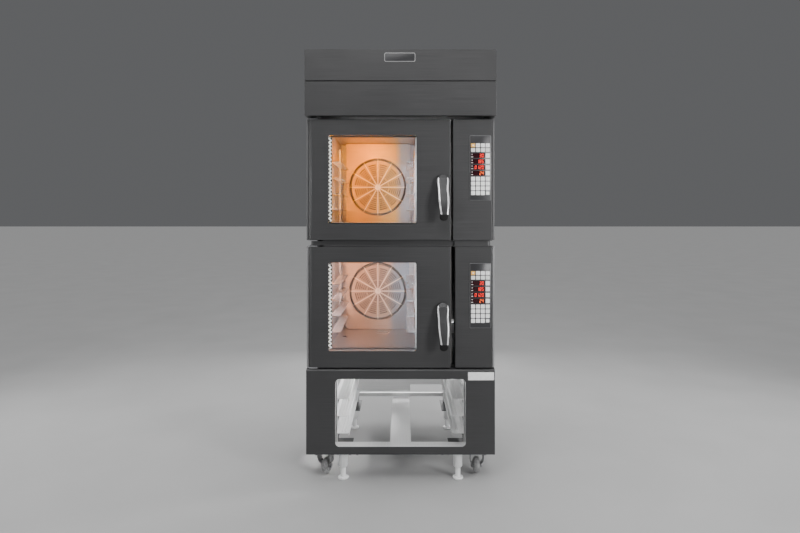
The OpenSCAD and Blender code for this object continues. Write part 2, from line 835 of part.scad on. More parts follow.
heater_d = fan_d + 4;
heater_p = 12;
heater_leg_x = 20;
heater_leg_z = sqrt(heater_r * heater_r - heater_leg_x * heater_leg_x);
heater_back = heater_d + 2 * heater_tube + (heater_n - 1) * heater_p;

module heater() {
  color([0.35, 0.3, 0.28]) {
    for (i = [0 : heater_n - 1])
      translate([window_x, heater_d + heater_tube + i * heater_p, fan_z]) rotate([90, 0, 0])
        rotate_extrude() translate([heater_r, 0]) circle(r = heater_tube, $fn = 16);
    for (a = [60, 180, 300]) translate([window_x, 0, fan_z]) rotate([0, a, 0])
      block([heater_r - 2, heater_d + 1, -5], [heater_r + 2, heater_back - 1, 5]);
    for (side = [-1, 1])
      bar_y(window_x + side * heater_leg_x, fan_z - heater_leg_z, heater_tube - 1,
            heater_back - heater_tube, cavity_d - 0.3);
  }
}

motor_r = 55;
motor_l = 62;
motor_foot = 75;

module fan_motor() {
  color([0.5, 0.5, 0.52]) {
    bar_y(window_x, fan_z, shaft_r, fan_d + 2, motor_d + 3);
    bar_y(window_x, fan_z, motor_r, motor_d + 3, motor_d + motor_l);
    plate(window_x - motor_foot, fan_z - motor_foot, window_x + motor_foot, fan_z + motor_foot, 10,
          motor_d, motor_d + 4);
    for (k = [0 : 5]) translate([window_x, 0, fan_z]) rotate([0, k * 60, 0])
      block([motor_r - 2, motor_d + 6, -2], [motor_r + 6, motor_d + motor_l - 6, 2]);
  }
}

hub_r = 22;
blade_r = 60;

module fan_wheel() {
  color(steel) translate([window_x, fan_d, fan_z]) rotate([-90, 0, 0]) {
    difference() {
      union() {
        translate([0, 0, fan_w - 3]) cylinder(r = fan_r - 4, h = 3);
        cylinder(r = hub_r, h = fan_w);
        for (k = [0 : blade_n - 1]) rotate(k * 360 / blade_n) blade();
      }
      translate([0, 0, -cut]) cylinder(r = shaft_r + run_gap, h = fan_w + 2 * cut);
    }
  }
}

function blade_at(k) = blade_r + (fan_r - blade_r) * k / 6;

// One curved fan blade
module blade() {
  linear_extrude(fan_w - 2) polygon(concat(
    [for (k = [0 : 6]) let(r = blade_at(k), a = 3 * k) [r * cos(a), r * sin(a)]],
    [for (k = [6 : -1 : 0]) let(r = blade_at(k), a = 3 * k - 2.2) [r * cos(a), r * sin(a)]]
  ));
}

rack_front = 105;
rack_l = guard_d - rack_end - rack_front;
rack_post = 10;
rack_lip = 8;
rack_stud = 0.3;

module side_racks() {
  color(steel) translate([window_x, 0, 0]) for (side = [-1, 1]) scale_x(side) {
    for (i = [0 : rack_n - 1]) translate([0, 0, rack_z + i * rack_p]) {
      translate([0, 0, -sheet]) linear_extrude(sheet)
        polygon(rounded(rack_x - rack_w, rack_front, rack_x, rack_front + rack_l, [8, 0, 0, 8]));
      block([rack_x - sheet, rack_front, -sheet], [rack_x, rack_front + rack_l, rack_lip]);
    }
    for (d = [rack_front + 20, rack_front + rack_l - 30])
      block([rack_x, d, cavity_z + rack_stud],
            [rack_x + rack_post - rack_stud, d + rack_post, cavity_top - 40]);
  }
}
rack_x = cavity_w / 2 - rack_post;

// Fascia with its folded edges, beside the door with that gap
module control_panel(gap) {
  color(anthracite) difference() {
    folded_front(door_right + gap, panel_right, 0);
    translate([0, 0, sheet]) folded_front(door_right + gap + sheet, panel_right - sheet, sheet);
  }
}

// A front with folded edges, rounded at its front corners. Inset, it is the hollow behind it.
module folded_front(x0, x1, inset) {
  translate([0, 0, door_end_gap]) linear_extrude(deck_h - 2 * door_end_gap - 2 * inset)
    polygon(rounded(x0, inset, x1, flange_d - 0.3 + inset, [3, 3, 0, 0]));
}

key_left = keypad_x - 1.5 * key_px;
key_low = keypad_z + 24;
display_n = 4;
display_p = 26.5;
display_h = 20;
top_key_p = 21;
top_key_h = 17;
last_key_in = 3;

module keypad() {
  color(black)
    plate(keypad_x - keypad_w / 2, keypad_z, keypad_x + keypad_w / 2, keypad_z + keypad_h, 4, -keypad_t, 0);
  color(white) {
    for (i = [0 : 3], k = [0 : 3]) if (i + 3 - k < 6)
      key(key_left + i * key_px, key_low + k * key_pz, key_s, key_s);
    key(key_left + 3 * key_px, key_low + last_key_in / 2, key_s - last_key_in, key_s - last_key_in);
    for (k = [0 : display_n - 1]) key(key_left + 3 * key_px, display_z(k), key_s, display_h);
    for (i = [0 : 3], k = [0 : 1])
      key(key_left + i * key_px, display_z(display_n) + k * top_key_p, key_s, top_key_h);
  }
}
function display_z(k) = key_low + 4 * key_pz + 3 + k * display_p;

// One key pad on the keypad, centred at x, its lower edge at z
module key(x, z, w, h) {
  block([x - w / 2, -keypad_t - key_t, z], [x + w / 2, -keypad_t + 0.2, z + h]);
}

hinge_plate_d = 110;
keeper_x = handle_x + 22;
cam_d = 38;
cam_t = 8;
cam_l = 26;
cam_w = 7;

// A hinge plate seen from above, with its slanted inner end
module hinge_plate() {
  linear_extrude(hinge_plate_t) polygon([
    [-half_w + 5, hinge_r + 8], [-half_w + 13, hinge_r - 9], [-half_w + hinge_plate_w - 14, hinge_r - 9],
    [-half_w + hinge_plate_w, hinge_r + 22], [-half_w + hinge_plate_w, hinge_plate_d],
    [-half_w + 5, hinge_plate_d]
  ]);
}

module door_hardware() {
  color(steel) {
    translate([0, 0, deck_h]) hinge_plate();
    translate([hinge_x, hinge_r, deck_h - hinge_pin_l]) cylinder(r = hinge_pin_r, h = hinge_pin_l + 1);
    translate([0, 0, -hinge_plate_t]) hinge_plate();
    translate([hinge_x, hinge_r, -1]) cylinder(r = hinge_pin_r, h = hinge_pin_l + 1);
    block([keeper_x - 15, flange_d - sheet, handle_z - 30], [keeper_x + 11, flange_d, handle_z + 40]);
    block([keeper_x - 5, cam_d, handle_z + cam_w + pass_gap],
          [keeper_x + 7, flange_d - sheet, handle_z + cam_w + 10]);
  }
}

// Door outline from above, with its full round hinge edge
module door_outline(inset) {
  polygon(concat(
    corner_arc(hinge_x, hinge_r, hinge_r - inset, 180),
    corner_arc(door_right - 4, 4, 4 - inset, 270),
    [[door_right - inset, door_t - sheet], [door_left + inset, door_t - sheet]]
  ));
}

door_h = deck_h - 2 * door_end_gap;

module door_skin() {
  color(anthracite) translate([0, 0, door_end_gap]) difference() {
    linear_extrude(door_h) door_outline(0);
    translate([0, 0, sheet]) linear_extrude(door_h - 2 * sheet) door_outline(sheet);
    block([door_left + sheet, door_t - 2 * sheet - 1, sheet], [door_right - sheet, door_t, door_h - sheet]);
    translate([0, 0, -door_end_gap])
      plate(window_left, window_z, window_right, window_top, window_r, -cut, sheet + cut);
    translate([hinge_x, hinge_r, -cut]) cylinder(r = hinge_pin_r + 2, h = door_h + 2 * cut);
    bar_y(handle_x, handle_z - door_end_gap, spindle_r + 3, -cut, sheet + cut);
  }
}

tunnel_t = 2;
tunnel_gap = 2;
pane_over = tunnel_gap - 0.3;
block_h = 28;
pane_back = door_t - sheet;
bearing_d = 22;
bracket_half = 10;
bracket_front = 6;
bracket_h = 60;
bracket_t = 8;
latch_left = 16;
latch_right = 12;
latch_low = 34;
latch_high = 44;

// The window's outline grown by a margin, from depth d0 to d1
module window_plate(grow, d0, d1) {
  plate(window_left - grow, window_z - grow, window_right + grow, window_top + grow, window_r + grow, d0, d1);
}

module door_frame() {
  color(steel) difference() {
    union() {
      block([door_left, door_t - sheet, door_end_gap], [door_right, door_t, door_end_gap + door_h]);
      window_plate(tunnel_gap + tunnel_t, sheet + glass_t, door_t - sheet + 1);
      for (z = [door_end_gap + sheet, door_end_gap + door_h - sheet - block_h]) {
        translate([hinge_x, hinge_r, z]) cylinder(r = hinge_r - sheet - 0.2, h = block_h);
        block([hinge_x - 8, hinge_r, z], [hinge_x + 8, door_t - 1, z + block_h]);
      }
      bar_y(handle_x, handle_z, spindle_r + 8, sheet, bearing_d);
      block([handle_x - bracket_half, bracket_front, handle_z - bracket_h],
            [handle_x + bracket_half, bearing_d, handle_z - spindle_r]);
      block([handle_x - bracket_half, bracket_front, handle_z - bracket_h],
            [handle_x + bracket_half, door_t - 1, handle_z - bracket_h + bracket_t]);
    }
    window_plate(tunnel_gap, 0, door_t - sheet);
    window_plate(-4, door_t - sheet - cut, door_t + cut);
    for (z = [0, door_h - block_h - sheet])
      translate([hinge_x, hinge_r, z]) cylinder(r = hinge_pin_r + run_gap, h = block_h + 2 * sheet);
    bar_y(handle_x, handle_z, spindle_r + run_gap, 0, 24);
    block([handle_x - latch_left, door_t - sheet - cut, handle_z - latch_low],
          [keeper_x + latch_right, door_t + cut, handle_z + latch_high]);
  }
}

module door_glass() {
  color(glass) {
    plate(window_left - glass_lap, window_z - glass_lap, window_right + glass_lap, window_top + glass_lap, 6,
          sheet, sheet + glass_t);
    window_plate(pane_over, pane_back - glass_t, pane_back);
  }
}

lamp_front = sheet + glass_t + 2;
lamp_d = 20;
lamp_end = 10;
lamp_p = (window_s - 2 * lamp_end) / lamp_n;
lamp_r = 4.5;

module door_lamps() {
  color(white) {
    block([window_left - tunnel_gap, lamp_front, window_z + lamp_end],
          [window_left + 3, lamp_d, window_top - lamp_end]);
    for (k = [0 : lamp_n - 1])
      translate([window_left + 3, (lamp_front + lamp_d) / 2, window_z + lamp_end + (k + 0.5) * lamp_p])
        rotate([0, 90, 0]) cylinder(r1 = lamp_r, r2 = lamp_r - 2, h = lamp_w - 3);
    block([window_right - lamp_w + 1, lamp_front, window_z + lamp_end],
          [window_right + tunnel_gap, lamp_d, window_top - lamp_end]);
  }
}

// Right and left edges of the lever below its head, from the pivot down
lever_right = [[handle_r, 0], [handle_r - 3, -40], [handle_r + 1, -78], [handle_r, -115],
               [handle_r - 2.5, -lever_l]];
lever_left = [[-handle_r + 13, -lever_l], [-handle_r + 8, -115], [-handle_r + 4, -78],
              [-handle_r + 3, -40], [-handle_r, 0]];
head_gap = 6;
boss_r = 17;

// Front outline of the lever
module lever_front() {
  polygon(concat(
    [for (a = [15 : 15 : 165]) [handle_r * cos(a), handle_r * sin(a)]],
    smooth(turned(lever_left)),
    smooth(turned(lever_right))
  ));
}

// Side outline of the lever: near the door at its head, standing off at its lower end
lever_back = [[-head_gap, handle_r], [-head_gap - 8, -20], [-30, -60], [-handle_proud + lever_t + 4, -115],
              [-handle_proud + lever_t, -lever_l - tip_l]];
lever_front_line = [[-handle_proud, -lever_l - tip_l], [-handle_proud + 2, -115], [-44, -60], [-30, -20],
                    [-head_gap - lever_t, 8], [-head_gap - 5, handle_r]];

module lever_side() {
  rotate([90, 0, 90]) linear_extrude(4 * handle_r, center = true)
    polygon(concat(smooth(lever_back), smooth(lever_front_line)));
}

module at_handle() {
  translate([handle_x, 0, handle_z]) children();
}

module handle() {
  color(chrome) at_handle() {
    intersection() {
      rotate([90, 0, 0]) linear_extrude(handle_proud + 5) lever_front();
      lever_side();
      block([-3 * handle_r, -2 * handle_proud, -lever_l], [3 * handle_r, 0, 2 * handle_r]);
    }
    bar_y(0, 0, boss_r, -head_gap - 6, -0.3);
    bar_y(0, 0, spindle_r, -1, cam_d + cam_t);
    bar_y(0, 0, spindle_r + 4, cam_d, cam_d + cam_t);
    block([0, cam_d, -cam_w], [cam_l, cam_d + cam_t, cam_w]);
  }
}

tip_w = 34;

// Black tip below the lever, seated on its lower end
module grip() {
  color(black) at_handle() intersection() {
    plate(-tip_w / 2 + tip_x, -lever_l - tip_l, tip_w / 2 + tip_x, -lever_l, 12, -2 * handle_proud, 0);
    lever_side();
  }
}
tip_x = 5;

// The nodes

base_front_panel();
base_side_panels();
base_rear_frame();
base_top_frame();
base_chassis();
base_floor();
tray_runners();
leg_and_caster_mounts();
foot(0);  // foot_front_left
foot(1);  // foot_front_right
foot(2);  // foot_rear_left
foot(3);  // foot_rear_right
fork(0);  // fork_front_left
fork(1);  // fork_front_right
fork(2);  // fork_rear_left
fork(3);  // fork_rear_right
wheel(0);  // wheel_front_left
wheel(1);  // wheel_front_right
wheel(2);  // wheel_rear_left
wheel(3);  // wheel_rear_right
stacking_frame();
insulation();
rear_covers();
hood_lower_shell();
hood_upper_shell();
hood_filter();
in_deck(lower_z) casing();  // lower_casing
in_deck(lower_z) chamber();  // lower_chamber
in_deck(lower_z) door_seal();  // lower_door_seal
in_deck(lower_z) fan_guard();  // lower_fan_guard
in_deck(lower_z) heater();  // lower_heater
in_deck(lower_z) fan_motor();  // lower_fan_motor
in_deck(lower_z) fan_wheel();  // lower_fan_wheel
in_deck(lower_z) side_racks();  // lower_side_racks
in_deck(lower_z) control_panel(lower_panel_gap);  // lower_control_panel
in_deck(lower_z) keypad();  // lower_keypad
in_deck(lower_z) door_hardware();  // lower_door_hardware
in_deck(lower_z) door_skin();  // lower_door_skin
in_deck(lower_z) door_frame();  // lower_door_frame
in_deck(lower_z) door_glass();  // lower_door_glass
in_deck(lower_z) door_lamps();  // lower_door_lamps
in_deck(lower_z) handle();  // lower_handle
in_deck(lower_z) grip();  // lower_grip
in_deck(upper_z) casing();  // upper_casing
in_deck(upper_z) chamber();  // upper_chamber
in_deck(upper_z) door_seal();  // upper_door_seal
in_deck(upper_z) fan_guard();  // upper_fan_guard
in_deck(upper_z) heater();  // upper_heater
in_deck(upper_z) fan_motor();  // upper_fan_motor
in_deck(upper_z) fan_wheel();  // upper_fan_wheel
in_deck(upper_z) side_racks();  // upper_side_racks
in_deck(upper_z) control_panel(upper_panel_gap);  // upper_control_panel
in_deck(upper_z) keypad();  // upper_keypad
in_deck(upper_z) door_hardware();  // upper_door_hardware
in_deck(upper_z) door_skin();  // upper_door_skin
in_deck(upper_z) door_frame();  // upper_door_frame
in_deck(upper_z) door_glass();  // upper_door_glass
in_deck(upper_z) door_lamps();  // upper_door_lamps
in_deck(upper_z) handle();  // upper_handle
in_deck(upper_z) grip();  // upper_grip
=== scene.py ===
"""Looks of the stacked convection ovens: finishes, lamps, keypads, levers, lights and the camera.

Metres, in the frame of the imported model: +X right, front at -Y, +Z up, origin on the floor.
Sizes of small pieces are written in millimetres and turned into metres by mm().
"""
import json
import math

import bmesh
import bpy
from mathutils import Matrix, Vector


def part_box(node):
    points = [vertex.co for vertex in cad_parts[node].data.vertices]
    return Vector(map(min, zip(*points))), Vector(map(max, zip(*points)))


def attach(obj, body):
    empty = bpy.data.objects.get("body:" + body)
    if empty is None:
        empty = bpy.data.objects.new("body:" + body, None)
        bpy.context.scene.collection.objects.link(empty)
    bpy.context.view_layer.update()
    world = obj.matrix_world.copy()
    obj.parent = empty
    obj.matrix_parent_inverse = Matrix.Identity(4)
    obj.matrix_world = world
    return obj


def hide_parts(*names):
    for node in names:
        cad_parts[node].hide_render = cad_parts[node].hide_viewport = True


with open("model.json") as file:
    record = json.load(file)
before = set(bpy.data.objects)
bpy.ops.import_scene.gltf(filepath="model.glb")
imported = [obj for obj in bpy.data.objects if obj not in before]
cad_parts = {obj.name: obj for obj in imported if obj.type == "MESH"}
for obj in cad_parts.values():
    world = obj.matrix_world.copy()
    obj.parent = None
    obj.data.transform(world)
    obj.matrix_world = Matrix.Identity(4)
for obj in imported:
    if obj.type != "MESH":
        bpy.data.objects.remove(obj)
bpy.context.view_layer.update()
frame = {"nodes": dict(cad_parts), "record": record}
NODES = frame["nodes"]
DECKS = ("lower", "upper")
CORNERS = ("front_left", "front_right", "rear_left", "rear_right")
TOWER = "tower"
FRONT_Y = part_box("lower_door_skin")[0].y


def mm(value):
    return value / 1000


def deck_bottom(deck):
    """Height of a deck's own bottom."""
    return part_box(deck + "_casing")[0].z


def wheel_centre(deck):
    """Centre of a deck's fan wheel."""
    low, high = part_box(deck + "_fan_wheel")
    return (low + high) / 2


# Camera: level, at the photograph's viewing angle
CAMERA_DISTANCE = 2.65
CAMERA_HEIGHT = 1.200
CAMERA_X = 0.008
SENSOR_MM = 36
PHOTO_MM_PER_PX = 4.5
PHOTO_W, PHOTO_H = 800, 533
VANISH_X, VANISH_Y = 402.3, 218.0


def make_camera():
    """Camera whose lens and shift give the photograph's frame."""
    data = bpy.data.cameras.new("camera")
    camera = bpy.data.objects.new("camera", data)
    bpy.context.scene.collection.objects.link(camera)
    camera.location = (CAMERA_X, FRONT_Y - CAMERA_DISTANCE, CAMERA_HEIGHT)
    camera.rotation_euler = (math.pi / 2, 0, 0)
    data.sensor_width = SENSOR_MM
    data.lens = data.sensor_width * CAMERA_DISTANCE / mm(PHOTO_W * PHOTO_MM_PER_PX)
    data.shift_x = -(VANISH_X - PHOTO_W / 2) / PHOTO_W
    data.shift_y = -(PHOTO_H / 2 - VANISH_Y) / PHOTO_W
    bpy.context.scene.camera = camera


# Material tools

NOISE_DETAIL = 3.0
PATCHES, PATCH_SHARE = (3, 3, 3), 0.35
BUMP_DEPTH = 0.0004


def shader_of(mat):
    return mat.node_tree.nodes["Principled BSDF"]


def new_material(name, colour, metallic, rough, **sockets):
    """A Principled material; plain values are set on the shader itself."""
    mat = bpy.data.materials.new(name)
    mat.use_nodes = True
    shader = shader_of(mat)
    shader.inputs["Base Color"].default_value = (*colour, 1)
    shader.inputs["Metallic"].default_value = metallic
    shader.inputs["Roughness"].default_value = rough
    for key, value in sockets.items():
        shader.inputs[key.replace("_", " ")].default_value = value
    return mat


def add_noise(mat, scale, detail=NOISE_DETAIL):
    """Noise in object coordinates, stretched by scale."""
    nodes, links = mat.node_tree.nodes, mat.node_tree.links
    coords = nodes.new("ShaderNodeTexCoord")
    mapping = nodes.new("ShaderNodeMapping")
    mapping.inputs["Scale"].default_value = scale
    noise = nodes.new("ShaderNodeTexNoise")
    noise.inputs["Scale"].default_value = 1.0
    noise.inputs["Detail"].default_value = detail
    links.new(coords.outputs["Object"], mapping.inputs["Vector"])
    links.new(mapping.outputs["Vector"], noise.inputs["Vector"])
    return noise.outputs["Fac"]


def remap(mat, value, low, high, start=0.3, end=0.7):
    """Maps start to end of a value to low to high."""
    node = mat.node_tree.nodes.new("ShaderNodeMapRange")
    node.inputs["From Min"].default_value = start
    node.inputs["From Max"].default_value = end
    node.inputs["To Min"].default_value = low
    node.inputs["To Max"].default_value = high
    mat.node_tree.links.new(value, node.inputs["Value"])
    return node.outputs["Result"]


def multiply(mat, a, b):
    """The product of a value and another value or number."""
    node = mat.node_tree.nodes.new("ShaderNodeMath")
    node.operation = "MULTIPLY"
    mat.node_tree.links.new(a, node.inputs[0])
    if isinstance(b, float):
        node.inputs[1].default_value = b
    else:
        mat.node_tree.links.new(b, node.inputs[1])
    return node.outputs["Value"]


def weigh(mat, a, b, share):
    """The sum of two values, b taking that share."""
    total = mat.node_tree.nodes.new("ShaderNodeMath")
    total.operation = "MULTIPLY_ADD"
    total.inputs[1].default_value = 1 - share
    mat.node_tree.links.new(a, total.inputs[0])
    mat.node_tree.links.new(multiply(mat, b, share), total.inputs[2])
    return total.outputs["Value"]


def mix_colour(mat, value, dark, light):
    """Mixes two colours, or sockets, by a value."""
    node = mat.node_tree.nodes.new("ShaderNodeMix")
    node.data_type = "RGBA"
    for socket, colour in ((node.inputs[6], dark), (node.inputs[7], light)):
        if isinstance(colour, tuple):
            socket.default_value = (*colour, 1)
        else:
            mat.node_tree.links.new(colour, socket)
    mat.node_tree.links.new(value, node.inputs[0])
    return node.outputs[2]


def add_bump(mat, value, strength):
    """Lets a value stand up as fine relief."""
    nodes, links = mat.node_tree.nodes, mat.node_tree.links
    bump = nodes.new("ShaderNodeBump")
    bump.inputs["Strength"].default_value = strength
    bump.inputs["Distance"].default_value = BUMP_DEPTH
    links.new(value, bump.inputs["Height"])
    links.new(bump.outputs["Normal"], shader_of(mat).inputs["Normal"])


def feed(mat, socket, value):
    mat.node_tree.links.new(value, shader_of(mat).inputs[socket])


def tint(mat, value, colour):
    """Turns the base colour to another one where the value is 1."""
    plain = shader_of(mat).inputs["Base Color"].links[0].from_socket
    feed(mat, "Base Color", mix_colour(mat, value, plain, colour))


def axis_fade(mat, axis, start, end, low=0.0, high=1.0):
    """Goes from low to high between two places along an axis of the object."""
    nodes, links = mat.node_tree.nodes, mat.node_tree.links
    coords = nodes.new("ShaderNodeTexCoord")
    split = nodes.new("ShaderNodeSeparateXYZ")
    links.new(coords.outputs["Object"], split.inputs["Vector"])
    return remap(mat, split.outputs[axis], low, high, start, end)


def reach_fade(mat, centre, start, end):
    """Goes from 1 to 0 between two distances from a line through centre along Y."""
    nodes, links = mat.node_tree.nodes, mat.node_tree.links
    coords = nodes.new("ShaderNodeTexCoord")
    flat = nodes.new("ShaderNodeVectorMath")
    flat.operation = "MULTIPLY"
    flat.inputs[1].default_value = (1, 0, 1)
    links.new(coords.outputs["Object"], flat.inputs[0])
    reach = nodes.new("ShaderNodeVectorMath")
    reach.operation = "DISTANCE"
    reach.inputs[1].default_value = (centre.x, 0, centre.z)
    links.new(flat.outputs["Vector"], reach.inputs[0])
    return remap(mat, reach.outputs["Value"], 1.0, 0.0, start, end)


def brushed(name, dark, light, rough, metallic, lines, bump=0.12):
    """A surface with fine brush lines or grain over soft large patches."""
    mat = new_material(name, light, metallic, rough[1])
    fine = add_noise(mat, lines)
    patch = add_noise(mat, PATCHES)
    spread = remap(mat, weigh(mat, fine, patch, PATCH_SHARE), 0.0, 1.0)
    feed(mat, "Base Color", mix_colour(mat, spread, dark, light))
    feed(mat, "Roughness", remap(mat, fine, *rough))
    add_bump(mat, fine, bump)
    return mat


def glowing(name, base, colour, strength, scale=60):
    """A lamp or digit whose glow varies a little."""
    mat = new_material(name, base, 0.0, 0.35)
    shader_of(mat).inputs["Emission Color"].default_value = (*colour, 1)
    soft = add_noise(mat, (scale, scale, scale), 2.0)
    feed(mat, "Emission Strength", remap(mat, soft, 0.85 * strength, 1.15 * strength))
    return mat


def make_glass():
    """Clear pane with faint wiping marks."""
    mat = new_material("door_glass", (0.97, 0.98, 0.98), 0.0, 0.0, Transmission_Weight=1.0, IOR=1.45)
    marks = add_noise(mat, (9, 9, 3))
    feed(mat, "Roughness", remap(mat, marks, 0.0, 0.035, 0.45, 0.75))
    return mat


# Materials: dark and light colour, roughness, metallic share and scale of the lines or grain

LINES_LEVEL = (5, 5, 800)
LINES_DEEP = (600, 5, 600)
GRAIN_SOFT = (60, 60, 60)
GRAIN_FINE = (300, 300, 300)
PAINT = ((0.050, 0.050, 0.051), (0.078, 0.078, 0.080), (0.36, 0.50), 0.5, LINES_LEVEL)
POLISHED = ((0.78, 0.78, 0.80), (0.88, 0.88, 0.90))

anthracite = brushed("anthracite", *PAINT)
stainless = brushed("stainless", (0.60, 0.60, 0.60), (0.78, 0.78, 0.78), (0.30, 0.44), 0.55, LINES_LEVEL)
stainless_deep = brushed(
    "stainless_deep", (0.66, 0.66, 0.66), (0.84, 0.84, 0.84), (0.30, 0.44), 0.45, LINES_DEEP)
hood_filter_steel = brushed(
    "filter_steel", (0.45, 0.45, 0.46), (0.62, 0.62, 0.63), (0.3, 0.45), 0.8, LINES_DEEP)
rib_steel = brushed(
    "rib_steel", (0.90, 0.84, 0.72), (0.97, 0.93, 0.84), (0.24, 0.36), 0.1, GRAIN_SOFT, bump=0.03)
# Near-black steel of the fan wheel and the latch cam: painted shade, so the guard's slots and the gap beside
# the door read dark.
shade_dark_steel = brushed(
    "shade_dark_steel", (0.020, 0.019, 0.018), (0.04, 0.038, 0.036), (0.4, 0.6), 0.3, GRAIN_SOFT)
rack_steel = brushed(
    "rack_steel", (0.74, 0.74, 0.74), (0.90, 0.90, 0.90), (0.16, 0.28), 0.5, LINES_DEEP)
chrome = brushed("chrome", *POLISHED, (0.06, 0.14), 1.0, (40, 40, 40), bump=0.02)
zinc = brushed(
    "zinc_plate", (0.26, 0.26, 0.27), (0.40, 0.40, 0.41), (0.24, 0.38), 0.8, (90, 90, 90), bump=0.02)
# Near-white and barely metallic: the legs, feet and mounts are chrome, and this pale colour is partly painted
# reflection standing in for their bright reflections.
leg_steel = brushed(
    "leg_steel", (0.90, 0.90, 0.90), (0.97, 0.97, 0.97), (0.24, 0.36), 0.1, (160, 160, 4), bump=0.03)
black_rubber = brushed(
    "black_rubber", (0.012, 0.012, 0.012), (0.03, 0.03, 0.03), (0.6, 0.8), 0.0, (400, 400, 400))
tyre_rubber = brushed(
    "tyre_rubber", (0.16, 0.16, 0.163), (0.40, 0.40, 0.40), (0.4, 0.6), 0.0, (90, 90, 90), bump=0.3)
# Pale and half metallic: the lever is chrome, and this colour is partly painted reflection, so it looks
# bright from any angle.
lever_chrome = brushed(
    "lever_chrome", (0.86, 0.86, 0.87), (0.94, 0.94, 0.95), (0.10, 0.20), 0.45, (40, 40, 40), bump=0.02)
lever_dark = brushed(
    "lever_dark", (0.030, 0.030, 0.031), (0.050, 0.050, 0.052), (0.36, 0.5), 0.2, (700, 700, 20))
foil_edge = brushed("foil_edge", (0.10, 0.10, 0.105), (0.17, 0.17, 0.175), (0.35, 0.5), 0.0, GRAIN_FINE)
wool = brushed(
    "mineral_wool", (0.26, 0.23, 0.17), (0.42, 0.38, 0.29), (0.85, 0.95), 0.0, (150, 150, 40), bump=0.8)
tip_black = brushed(
    "tip_black", (0.003, 0.003, 0.003), (0.008, 0.008, 0.008), (0.5, 0.7), 0.0, (500, 500, 500))
shader_of(tip_black).inputs["Specular IOR Level"].default_value = 0.25
foil = brushed(
    "keypad_foil", (0.022, 0.022, 0.024), (0.034, 0.034, 0.037), (0.30, 0.42), 0.0, (700, 700, 700))
key_white = brushed(
    "key_white", (0.93, 0.93, 0.92), (0.98, 0.98, 0.97), (0.35, 0.45), 0.0, GRAIN_FINE, bump=0.04)
key_pale = brushed(
    "key_pale", (0.72, 0.74, 0.72), (0.86, 0.87, 0.84), (0.35, 0.45), 0.0, GRAIN_FINE, bump=0.04)
key_orange = brushed(
    "key_orange", (0.90, 0.42, 0.06), (1.0, 0.62, 0.14), (0.35, 0.45), 0.0, (120, 120, 120))
mark_grey = brushed("mark_grey", (0.30, 0.30, 0.30), (0.42, 0.42, 0.42), (0.4, 0.5), 0.0, GRAIN_FINE)
display_dark = brushed(
    "display_dark", (0.020, 0.004, 0.006), (0.035, 0.007, 0.010), (0.08, 0.14), 0.0, (50, 50, 50))
heater_steel = brushed(
    "heater_steel", (0.20, 0.20, 0.20), (0.32, 0.31, 0.30), (0.35, 0.6), 0.2, GRAIN_SOFT)
motor_grey = brushed(
    "motor_grey", (0.30, 0.30, 0.31), (0.42, 0.42, 0.43), (0.45, 0.65), 0.5, (150, 150, 150))
blank_pale = brushed(
    "blank_pale", (0.84, 0.84, 0.84), (0.94, 0.94, 0.94), (0.35, 0.5), 0.0, (80, 80, 80), bump=0.03)
lamp_body = brushed(
    "lamp_body", (0.016, 0.015, 0.014), (0.03, 0.028, 0.026), (0.5, 0.65), 0.0, (200, 200, 200))
studio_paper = brushed(
    "studio_paper", (0.42, 0.42, 0.42), (0.46, 0.46, 0.46), (0.8, 0.95), 0.0, (2, 2, 2), bump=0.0)
shader_of(studio_paper).inputs["Specular IOR Level"].default_value = 0.1
glass = make_glass()
lamp_white = glowing("lamp_white", (0.95, 0.95, 0.92), (1.0, 0.95, 0.88), 1.35)
lamp_cool = glowing("lamp_cool", (0.95, 0.95, 0.95), (0.95, 0.97, 1.0), 1.2)
digit_red = glowing("digit_red", (0.9, 0.05, 0.04), (1.0, 0.035, 0.02), 1.5, 300)
digit_orange = glowing("digit_orange", (0.95, 0.15, 0.04), (1.0, 0.14, 0.02), 1.6, 300)

# Painted shade behind the guard's slots: where it starts and is full, and where it fades from the wheel's
# centre
SHADE_START, SHADE_FULL = 0.003, 0.008
SHADE_REACH, SHADE_END = 0.136, 0.150
PAINTED_SHADE = (0.010, 0.010, 0.011)


def make_chamber_steel(deck):
    """Chamber steel, with shade painted dark behind the slots of the fan guard."""
    mat = brushed(
        deck + "_chamber_steel", (0.34, 0.32, 0.31), (0.48, 0.46, 0.45), (0.26, 0.42), 0.6, LINES_LEVEL)
    guard_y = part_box(deck + "_fan_guard")[0].y
    behind = axis_fade(mat, "Y", guard_y + SHADE_START, guard_y + SHADE_FULL)
    near = reach_fade(mat, wheel_centre(deck), SHADE_REACH, SHADE_END)
    # Painted shade: the chamber's steel made dark where it lies behind the guard, near the wheel.
    tint(mat, multiply(mat, behind, near), PAINTED_SHADE)
    return mat


# Painted warm light in the colour of each fan guard, and where it ends right of the guard's middle
WARM_LIGHT_TINT = {
    "upper": ((0.36, 0.25, 0.07), (0.50, 0.36, 0.11)),
    "lower": ((0.34, 0.27, 0.20), (0.46, 0.38, 0.31)),
}
WARM_LIGHT_END = {"upper": 0.095, "lower": 0.055}
WARM_LIGHT_FADE = 0.035
# Colour of the guard's right end: painted cool light
COOL_LIGHT_TINT = (0.21, 0.26, 0.30)


def make_guard_steel(deck):
    """Steel of the fan guard, with the warm light painted into its colour, and cool light painted at its
    right end.
    """
    mat = brushed(deck + "_guard_steel", *WARM_LIGHT_TINT[deck], (0.26, 0.42), 0.55, LINES_LEVEL)
    low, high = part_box(deck + "_fan_guard")
    end = (low.x + high.x) / 2 + WARM_LIGHT_END[deck]
    tint(mat, axis_fade(mat, "X", end, end + WARM_LIGHT_FADE), COOL_LIGHT_TINT)
    return mat


